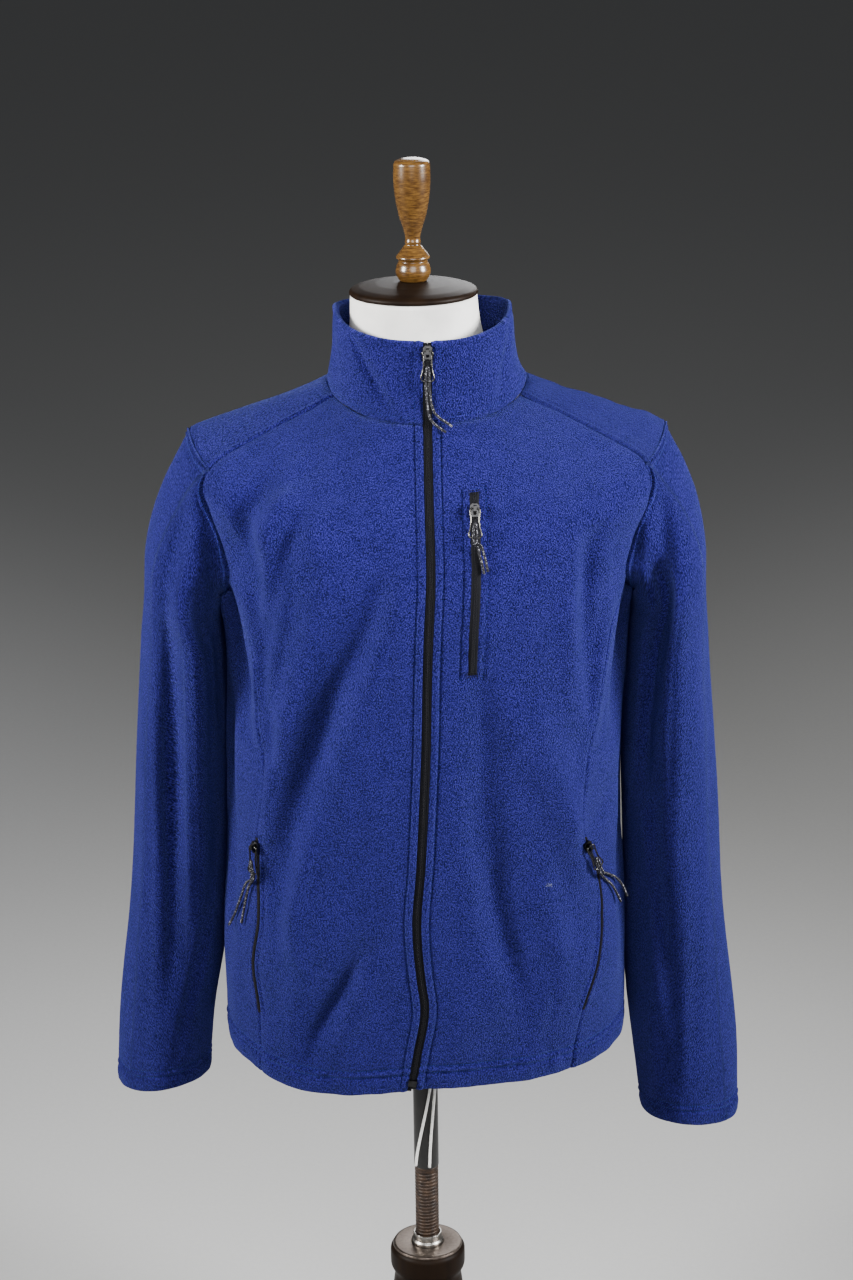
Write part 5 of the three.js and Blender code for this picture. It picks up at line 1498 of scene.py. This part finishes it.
def beside(name, line, normal, distance):
    """A line on a panel, a distance in from its edge: each edge point moved square to the edge
    in the cloth, then set on the nearest grid point's plane."""
    points, normals, _ = CLOTH[name]
    flat, flat_normals = points.reshape(-1, 3), normals.reshape(-1, 3)
    along = unit(np.gradient(line, axis=0))
    inward = np.cross(normal, along)
    towards = points.mean((0, 1)) - line.mean(0)
    inward *= np.sign(np.sum(inward.mean(0) * towards))
    goal = line + inward * distance
    square = (flat**2).sum(1)
    near = np.concatenate([(square - 2 * g @ flat.T).argmin(1) for g in np.array_split(goal, 20)])
    n = flat_normals[near]
    return goal + n * np.sum((flat[near] - goal) * n, -1, keepdims=True), n


def cloth_run(name, row, column, lift=-0.1):
    return on_cloth(name, np.asarray(row, float), np.asarray(column, float), lift)


def run_up(name, levels, level, from_edge, from_last=False):
    """A line on a panel that keeps a distance from its first or last column."""
    return cloth_run(name, *line_up(name, levels, level, from_edge, from_last))


def across_chest(level, half, count, shift=0.0, lift=-0.1):
    """A line across the chest zip, as far to each side of it."""
    ends = [line_up(CHEST_PANEL, BODY_LEVELS, np.array([level]), CHEST_U + off) for off in (-half, half)]
    row, columns = ends[0][0][0] + shift, np.linspace(ends[0][1][0], ends[1][1][0], count)
    return cloth_run(CHEST_PANEL, np.full(count, row), columns, lift)


def run_round(name, heights, columns, lift, from_top=False):
    """Lines along a grid's first row, or its last, at heights from it."""
    return [cloth_run(name, line_across(name, h, columns, from_top), columns, lift) for h in heights]


def sew_body():
    """Topstitching: zip edges, hem, armholes, shoulder seams, chest pocket and collar."""
    hem, edges = [], []
    fronts = ("cloth_front_right", "cloth_front_left")
    for name in (*fronts, "cloth_back", "cloth_side_right", "cloth_side_left"):
        columns = np.linspace(0, CLOTH[name][0].shape[1] - 1, 60)
        hem += run_round(name, HEM_ROWS, columns, 0.0)
    stitches("hem_stitching", hem)
    for name in fronts:
        edges.append(run_up(name, BODY_LEVELS, np.linspace(0.004, 0.995, 300), ZIP_STITCH))
    points, normals, _ = CLOTH["cloth_back"]
    yoke = BODY_LEVELS > ARM_TOP + 0.002
    for column in (0, -1):
        edges.append(beside("cloth_back", points[yoke, column], normals[yoke, column], WELT))
    for name in SLEEVE_PIECES:
        points, normals, uv = CLOTH[name]
        row = int(np.argmax(uv[:, 0, 1] > WELT))
        edges.append((points[row], normals[row]))
    stitches("edge_stitching", edges)
    count, width = CLOTH["cloth_collar"][0].shape[:2]
    runs = run_round("cloth_collar", [WELT], np.linspace(3, width - 4, 180), -0.1)
    levels, rows = np.linspace(0, 1, count), np.linspace(0.02, 0.97, 60)
    runs += [run_up("cloth_collar", levels, rows, ZIP_STITCH, last) for last in (False, True)]
    stitches("collar_stitching", runs)
    up = np.linspace(*CHEST_ENDS, 90)
    box = [run_up(CHEST_PANEL, BODY_LEVELS, up, CHEST_U + off) for off in (-CHEST_BOX, CHEST_BOX)]
    box += [across_chest(level, CHEST_BOX, 12) for level in CHEST_ENDS]
    stitches("chest_pocket_stitching", box)


def sew_cuffs():
    """Two rows of stitching round each cuff."""
    runs = []
    for name in SLEEVE_PIECES:
        columns = np.linspace(0, CLOTH[name][0].shape[1] - 1.01, 90)
        runs += run_round(name, CUFF_ROWS, columns, 0.0, from_top=True)
    stitches("cuff_stitching", runs)


def bartacks():
    """Short dense bars of thread across both ends of the chest zip."""
    shifts = (-0.45, 0, 0.45)  # in rows of the grid
    rows = [across_chest(level, 6.4, 16, shift, 2.3) for level in CHEST_LEVELS for shift in shifts]
    stitches("bartacks", rows, "zip tape", (2.6, 0.9, 1.4))


def snag():
    """A small pulled tuft of pale lint on the right front."""
    row, column = line_up(CHEST_PANEL, BODY_LEVELS, np.array([SNAG_LEVEL]), SNAG_FROM_ZIP)
    place, normal = on_cloth(CHEST_PANEL, row, column, 0.2)
    rng = np.random.default_rng(3)
    t = np.linspace(0, 1, 24)
    for i in range(3):
        wave = rng.normal(0, 1, (3, 3))
        line = sum(np.sin((j + 1.5) * np.pi * t + i)[:, None] * wave[j] for j in range(3))
        line -= normal * np.sum(line * normal, -1, keepdims=True) * 0.8
        line[:, 0] += (t - 0.5) * 5
        obj = put_tube(f"lint_{i + 1}", place + line * 1.1 + normal * 0.5, 0.09, finish("lint"), sides=5)
        finish_piece(obj, "upper")


# Form and stand
FORM_INSET = table(
    "level front side",
    [
        [0.045, 36, 36], [0.27, 32, 36], [0.45, 24, 30], [0.62, 17, 30], [0.74, 12, 36], [0.84, 7, 40],
        [0.89, 5, 24], [0.925, 6, 5], [0.95, 6, 4.4], [0.975, 7, 4.8], [1.0, 10, 9],
    ],
)
FORM_NECK = table(
    "z width front back shift",
    [[1274, 73, 65, 58, 6], [1292, 67.5, 64, 58, 3], [1312, 64.5, 63, 59, 1], [1337.7, 62.5, 62.5, 59, 0]],
)
FORM_LEVELS = (
    0.12, 0.2, 0.28, 0.37, 0.46, 0.55, 0.62, 0.68, 0.74, 0.79, 0.84, 0.875, 0.905, 0.93, 0.95,
    0.972, 1,
)
FORM_LOW, FORM_BOTTOM, FORM_COLUMNS = 0.045, 575.0, 57


def form_torso():
    """The form: the body's rings set in, then the neck's ovals, closed flat at both ends."""
    half = np.linspace(0, 1, FORM_COLUMNS)
    around = np.concatenate([half, half[-2:0:-1]])[None]
    side = np.concatenate([np.ones(FORM_COLUMNS), -np.ones(FORM_COLUMNS - 2)])[None]
    level = np.interp(np.linspace(0, 16, 81), np.arange(17), FORM_LEVELS)[:, None]

    def inset(at):
        sideways = np.sin(np.pi * around) ** 4
        depth = lerp(curve(FORM_INSET, "front", at), curve(FORM_INSET, "side", at), sideways)
        return ring_point(RINGS, side, around, at) - ring_normal(RINGS, side, around, at) * depth[..., None]

    bottom = inset(np.array([[FORM_LOW]]))
    bottom[..., 2] = FORM_BOTTOM
    middle = bottom.mean(1, keepdims=True)
    edge = [bottom * [k, k, 1] + middle * [1 - k, 1 - k, 0] for k in (0.5, 0.9, 0.985)]
    z = np.linspace(FORM_NECK["z"][0], FORM_NECK["z"][-1], 16)[:, None]
    width, front, back, shift = (curve(FORM_NECK, key, z, "z") for key in ("width", "front", "back", "shift"))
    depth = np.where(around < 0.5, front, back)
    x = shift + side * width * np.sin(np.pi * around)
    neck = np.stack([x, -depth * np.cos(np.pi * around), z + 0 * x], -1)
    top = neck[-1:] * [0.5, 0.5, 1]
    grid = np.concatenate([*edge, bottom + [0, 0, 1.2], inset(level), neck, top])
    rows, columns = grid.shape[:2]
    points = np.concatenate([grid.reshape(-1, 3), grid[:1].mean(1), grid[-1:].mean(1)])
    tris = np.concatenate([halves(quads(rows, columns, True)), end_fans(rows, columns)])
    obj = put_mesh("form_cover", points, facing_out(points, tris), finish("form cover"))
    finish_piece(obj, "upper", ["form_torso"])


# Turned pieces: name, finish, body, nodes, slot, segments, radius of the profile's corners and
# steps round each, then the profile as radius and height, mm
FORM_TURNED = (
    ("form_cap", "dark wood", "upper", ["neck_cap"], "dark_wood", 96, 1.8, 3, [
        (0, 1338), (61.5, 1338), (63.5, 1339.6), (63.5, 1342), (61.5, 1344.4), (53.5, 1347),
        (37.5, 1349.8), (20, 1351.3), (0, 1351.5),
    ]),
    ("form_finial", "finial wood", "upper", ["finial"], "turned_wood", 44, 3.2, 5, [
        (0, 1351.8), (13.2, 1351.8), (14.6, 1353.6), (17.2, 1359), (17.4, 1363), (15.8, 1368.5),
        (13.8, 1371.3), (14.2, 1372.6), (16.8, 1374.2), (16.6, 1376), (13.4, 1380), (9.6, 1385),
        (7.2, 1387.6), (8.1, 1390), (7.2, 1393), (7.6, 1396.5), (9.9, 1404.8), (13.1, 1414.2),
        (16, 1428), (17.4, 1438), (18.3, 1452), (17.8, 1466.5), (16.2, 1469), (9, 1471.6), (0, 1472),
    ]),
    ("form_post_bar", "dark post", "upper", ["form_post"], "dark_post", 64, 0.8, 3, [
        (0, 376), (13.5, 376), (13.5, 574.7), (0, 574.7),
    ]),
)
STAND_TURNED = (
    ("steel_collar", "steel", "stand", ["rod_collar"], "steel", 96, 0.6, 3, [
        (13.5, 280.3), (17.5, 280.3), (17.5, 284), (15.6, 286), (15.6, 293), (13.5, 293),
        (13.5, 280.3),
    ]),
    ("turned_column", "dark wood", "stand", ["stand_column"], "dark_wood", 72, 4.5, 6, [
        (0, 26.3), (58, 26.3), (60, 36), (54, 46), (40, 54), (34, 66), (36, 90), (41, 120),
        (43, 160), (42, 200), (38, 232), (36, 246), (41, 254), (41, 275), (36, 280), (13.5, 280),
        (13.5, 60), (0, 60),
    ]),
    ("column_plate", "column plate", "stand", [], "steel", 128, 0.25, 3, [
        (18, 280.05), (35.2, 280.05), (36.6, 279.2), (37.4, 278.2), (38.2, 278.4), (37.4, 280.4),
        (35.6, 281), (18, 280.9), (18, 280.05),
    ]),
    ("round_base", "dark wood", "stand", ["stand_base"], "dark_wood", 96, 5, 6, [
        (0, 0), (187, 0), (190, 4), (190, 14), (178, 22), (140, 26), (0, 26),
    ]),
)


def turned_pieces(rows):
    """Turns each row of a table of turned pieces."""
    for name, look, body, nodes, slot, segments, radius, steps, profile in rows:
        obj = turned(name, rounded(profile, radius, steps), segments, finish(look))
        finish_piece(obj, body, nodes)


def threaded_rod():
    """Rod of the stand: a plain profile with close rows, cut by the thread."""
    low, high = 130, 375.7
    rows = [(13.0, z) for z in np.arange(low, high + 0.1, 0.55)]
    pitch = bpy.context.scene.jacket_stand.thread_pitch / MM
    profile = [(0, low), *rows, (13.0, high), (0, high)]
    obj = turned("screw_rod", profile, 32, finish("browned rod"), thread=(pitch, 0.75, 131, 374))
    finish_piece(obj, "rod", ["threaded_rod"])


# Settings
class JacketCloth(bpy.types.PropertyGroup):
    fleece_color: FloatVectorProperty(
        name="Fleece", description="Colour of the fleece", subtype="COLOR", default=(0.0092, 0.0076, 0.08)
    )
    nap_depth: FloatProperty(name="Nap", description="Depth of the pile", unit="LENGTH", default=0.0016)
    nap_relief: FloatProperty(
        name="Nap relief", description="Unevenness of the cloth's face", unit="LENGTH", default=0.00005
    )
    tape_color: FloatVectorProperty(
        name="Zip tape", description="Colour of the zip tapes", subtype="COLOR",
        default=(0.0028, 0.003, 0.0045),
    )
    coil_color: FloatVectorProperty(
        name="Zip coil", description="Colour of the coils", subtype="COLOR", default=(0.007, 0.007, 0.009)
    )
    thread_color: FloatVectorProperty(
        name="Thread", description="Colour of the sewing", subtype="COLOR", default=(0.012, 0.028, 0.19)
    )
    stitch_pitch: FloatProperty(
        name="Stitch", description="Length of a stitch", unit="LENGTH", default=0.0026
    )
    coil_pitch: FloatProperty(
        name="Coil pitch", description="Height of one turn", unit="LENGTH", default=0.0014
    )


class JacketHardware(bpy.types.PropertyGroup):
    metal_color: FloatVectorProperty(
        name="Sliders", description="Plating of the sliders", subtype="COLOR", default=(0.06, 0.06, 0.062)
    )
    wire_color: FloatVectorProperty(
        name="Pulls", description="Plating of the wire pulls", subtype="COLOR", default=(0.08, 0.078, 0.074)
    )
    cord_color: FloatVectorProperty(
        name="Cord", description="Colour of the pull cords", subtype="COLOR", default=(0.008, 0.008, 0.012)
    )
    fleck_color: FloatVectorProperty(
        name="Flecks", description="Colour of the cord's flecks", subtype="COLOR", default=(0.3, 0.3, 0.33)
    )
    cord_diameter: FloatProperty(
        name="Cord size", description="Diameter of the pull cords", unit="LENGTH", default=0.0026
    )


class JacketStand(bpy.types.PropertyGroup):
    cover_color: FloatVectorProperty(
        name="Cover", description="Colour of the form's cover", subtype="COLOR", default=(0.74, 0.73, 0.7)
    )
    dark_wood: FloatVectorProperty(
        name="Dark wood", description="Darkest tone of the wood", subtype="COLOR",
        default=(0.006, 0.003, 0.0016),
    )
    dark_wood_light: FloatVectorProperty(
        name="Dark wood, light", description="Lightest tone of the wood", subtype="COLOR",
        default=(0.01, 0.005, 0.0022),
    )
    thread_pitch: FloatProperty(
        name="Thread", description="Rise of the rod's thread in one turn", unit="LENGTH", default=0.004
    )
    floor_size: IntProperty(name="Floor", description="Width of the floor in metres", default=90)


# Stage: the camera's turn in degrees, lens and sensor in millimetres and place in metres; each
# light's name, place, size, power and colour
CAMERA_PITCH, CAMERA_ROLL = 18.3, -0.8
CAMERA_LENS, CAMERA_SENSOR, CAMERA_PLACE = 76.58, 36, (0.008, -2.65, 1.856)
LIGHTS = (
    ("left", (-2.7, -1.0, 2.1), 1.1, 46, (1.0, 0.99, 0.97)),
    ("right", (2.7, -0.95, 2.05), 1.1, 54, (0.99, 0.99, 1.0)),
    ("front", (0.0, -3.2, 2.6), 2.4, 22, (1.0, 1.0, 1.0)),
    ("back", (0.6, 2.8, 2.4), 1.8, 11, (0.97, 0.98, 1.0)),
)
LIGHT_SPREAD, LIGHT_AIM = 70, (0, 0, 1.4)
SKY_COLOR, SKY_STRENGTH = (0.8, 0.82, 0.85, 1), 0.07


# Operators
class JACKET_OT_stage(bpy.types.Operator):
    """Makes the camera, the lights and the floor"""

    bl_idname = "jacket.stage"
    bl_label = "Stage"

    def execute(self, context):
        scene = context.scene
        pitch, roll = np.radians(CAMERA_PITCH), np.radians(CAMERA_ROLL)
        forward = np.array([0, np.cos(pitch), -np.sin(pitch)])
        right = np.array([1.0, 0, 0])
        up = np.cross(right, forward)
        x = np.cos(roll) * right + np.sin(roll) * up
        y = -np.sin(roll) * right + np.cos(roll) * up
        data = bpy.data.cameras.new("camera")
        data.lens, data.sensor_width = CAMERA_LENS, CAMERA_SENSOR
        camera = bpy.data.objects.new("camera", data)
        matrix = np.eye(4)
        matrix[:3] = np.column_stack([x, y, -forward, CAMERA_PLACE])
        camera.matrix_world = matrix.T.tolist()
        scene.collection.objects.link(camera)
        scene.camera = camera
        for name, place, size, power, color in LIGHTS:
            light = bpy.data.lights.new(name, "AREA")
            light.shape, light.size, light.energy, light.color = "DISK", size, power, color
            light.spread = np.radians(LIGHT_SPREAD)
            obj = bpy.data.objects.new(name, light)
            obj.location = place
            aim = Vector(LIGHT_AIM) - Vector(place)
            obj.rotation_euler = aim.to_track_quat("-Z", "Y").to_euler()
            scene.collection.objects.link(obj)
        world = bpy.data.worlds.new("studio")
        world.use_nodes = True
        sky = world.node_tree.nodes["Background"]
        sky.inputs["Color"].default_value = SKY_COLOR
        sky.inputs["Strength"].default_value = SKY_STRENGTH
        scene.world = world
        half = scene.jacket_stand.floor_size / 2 / MM
        points = [(-half, -half, 0), (half, -half, 0), (half, half, 0), (-half, half, 0)]
        floor = put_mesh("floor", points, [(0, 1, 2, 3)], finish("pale floor"))
        return {"FINISHED"}


class JACKET_OT_cords(bpy.types.Operator):
    """Makes the pull cords and the form's drawstrings"""

    bl_idname = "jacket.cords"
    bl_label = "Cords"

    def execute(self, context):
        for name in PULL_UP:
            pull_cords(name)
        drawstring("right")
        drawstring("left")
        return {"FINISHED"}


class JACKET_OT_body(bpy.types.Operator):
    """Makes the fronts, the sides and the back"""

    bl_idname = "jacket.body"
    bl_label = "Body panels"

    def execute(self, context):
        for side in (1, -1):
            front_panel(side)
            side_panel(side)
        back_panel()
        return {"FINISHED"}


class JACKET_OT_sleeves(bpy.types.Operator):
    """Makes both sleeves"""

    bl_idname = "jacket.sleeves"
    bl_label = "Sleeves"

    def execute(self, context):
        sleeve(1)
        sleeve(-1)
        return {"FINISHED"}


class JACKET_OT_collar(bpy.types.Operator):
    """Makes the stand collar"""

    bl_idname = "jacket.collar"
    bl_label = "Collar"

    def execute(self, context):
        collar()
        return {"FINISHED"}


class JACKET_OT_zips(bpy.types.Operator):
    """Makes the zips' tapes and coils"""

    bl_idname = "jacket.zips"
    bl_label = "Zips"

    def execute(self, context):
        if "cloth_front_right" not in CLOTH:
            raise RuntimeError("the body panels come before the zips")
        front_zip()
        pocket_zips()
        return {"FINISHED"}


class JACKET_OT_hardware(bpy.types.Operator):
    """Makes the wire pulls and finishes the sliders and the retainer box"""

    bl_idname = "jacket.hardware"
    bl_label = "Sliders and pulls"

    def execute(self, context):
        for name in PULL_UP:
            wire_pull(name)
        for name in [f"{zip_name}_slider" for zip_name in PULL_UP] + ["zip_retainer_box"]:
            node = frame["nodes"][name]
            node.data.materials.clear()
            node.data.materials.append(finish("gunmetal"))
        return {"FINISHED"}


class JACKET_OT_sewing(bpy.types.Operator):
    """Makes the topstitching, the bartacks and a pulled tuft"""

    bl_idname = "jacket.sewing"
    bl_label = "Sewing"

    def execute(self, context):
        sew_body()
        sew_cuffs()
        bartacks()
        snag()
        return {"FINISHED"}


class JACKET_OT_form(bpy.types.Operator):
    """Makes the dress form and its stand"""

    bl_idname = "jacket.form"
    bl_label = "Form and stand"

    def execute(self, context):
        form_torso()
        turned_pieces(FORM_TURNED)
        threaded_rod()
        turned_pieces(STAND_TURNED)
        return {"FINISHED"}


OPERATORS = (
    JACKET_OT_stage,
    JACKET_OT_cords,
    JACKET_OT_body,
    JACKET_OT_sleeves,
    JACKET_OT_collar,
    JACKET_OT_zips,
    JACKET_OT_hardware,
    JACKET_OT_sewing,
    JACKET_OT_form,
)
GROUPS = {"jacket_cloth": JacketCloth, "jacket_hardware": JacketHardware, "jacket_stand": JacketStand}


class JACKET_PT_panel(bpy.types.Panel):
    """Sizes, colours and pieces of the jacket"""

    bl_idname = "JACKET_PT_panel"
    bl_label = "Fleece zip jacket"
    bl_space_type = "VIEW_3D"
    bl_region_type = "UI"
    bl_category = "Jacket"

    def draw(self, context):
        for name, group in GROUPS.items():
            settings = getattr(context.scene, name)
            for key in group.__annotations__:
                self.layout.prop(settings, key)
        for operator in OPERATORS:
            self.layout.operator(operator.bl_idname)


def register():
    for group in GROUPS.values():
        bpy.utils.register_class(group)
    for name, group in GROUPS.items():
        setattr(bpy.types.Scene, name, PointerProperty(type=group))
    for cls in (*OPERATORS, JACKET_PT_panel):
        bpy.utils.register_class(cls)


def unregister():
    for cls in (JACKET_PT_panel, *reversed(OPERATORS)):
        bpy.utils.unregister_class(cls)
    for name in GROUPS:
        delattr(bpy.types.Scene, name)
    for group in GROUPS.values():
        bpy.utils.unregister_class(group)


def main():
    register()
    for operator in OPERATORS:
        area, name = operator.bl_idname.split(".")
        getattr(getattr(bpy.ops, area), name)()


if __name__ == "__main__":
    main()
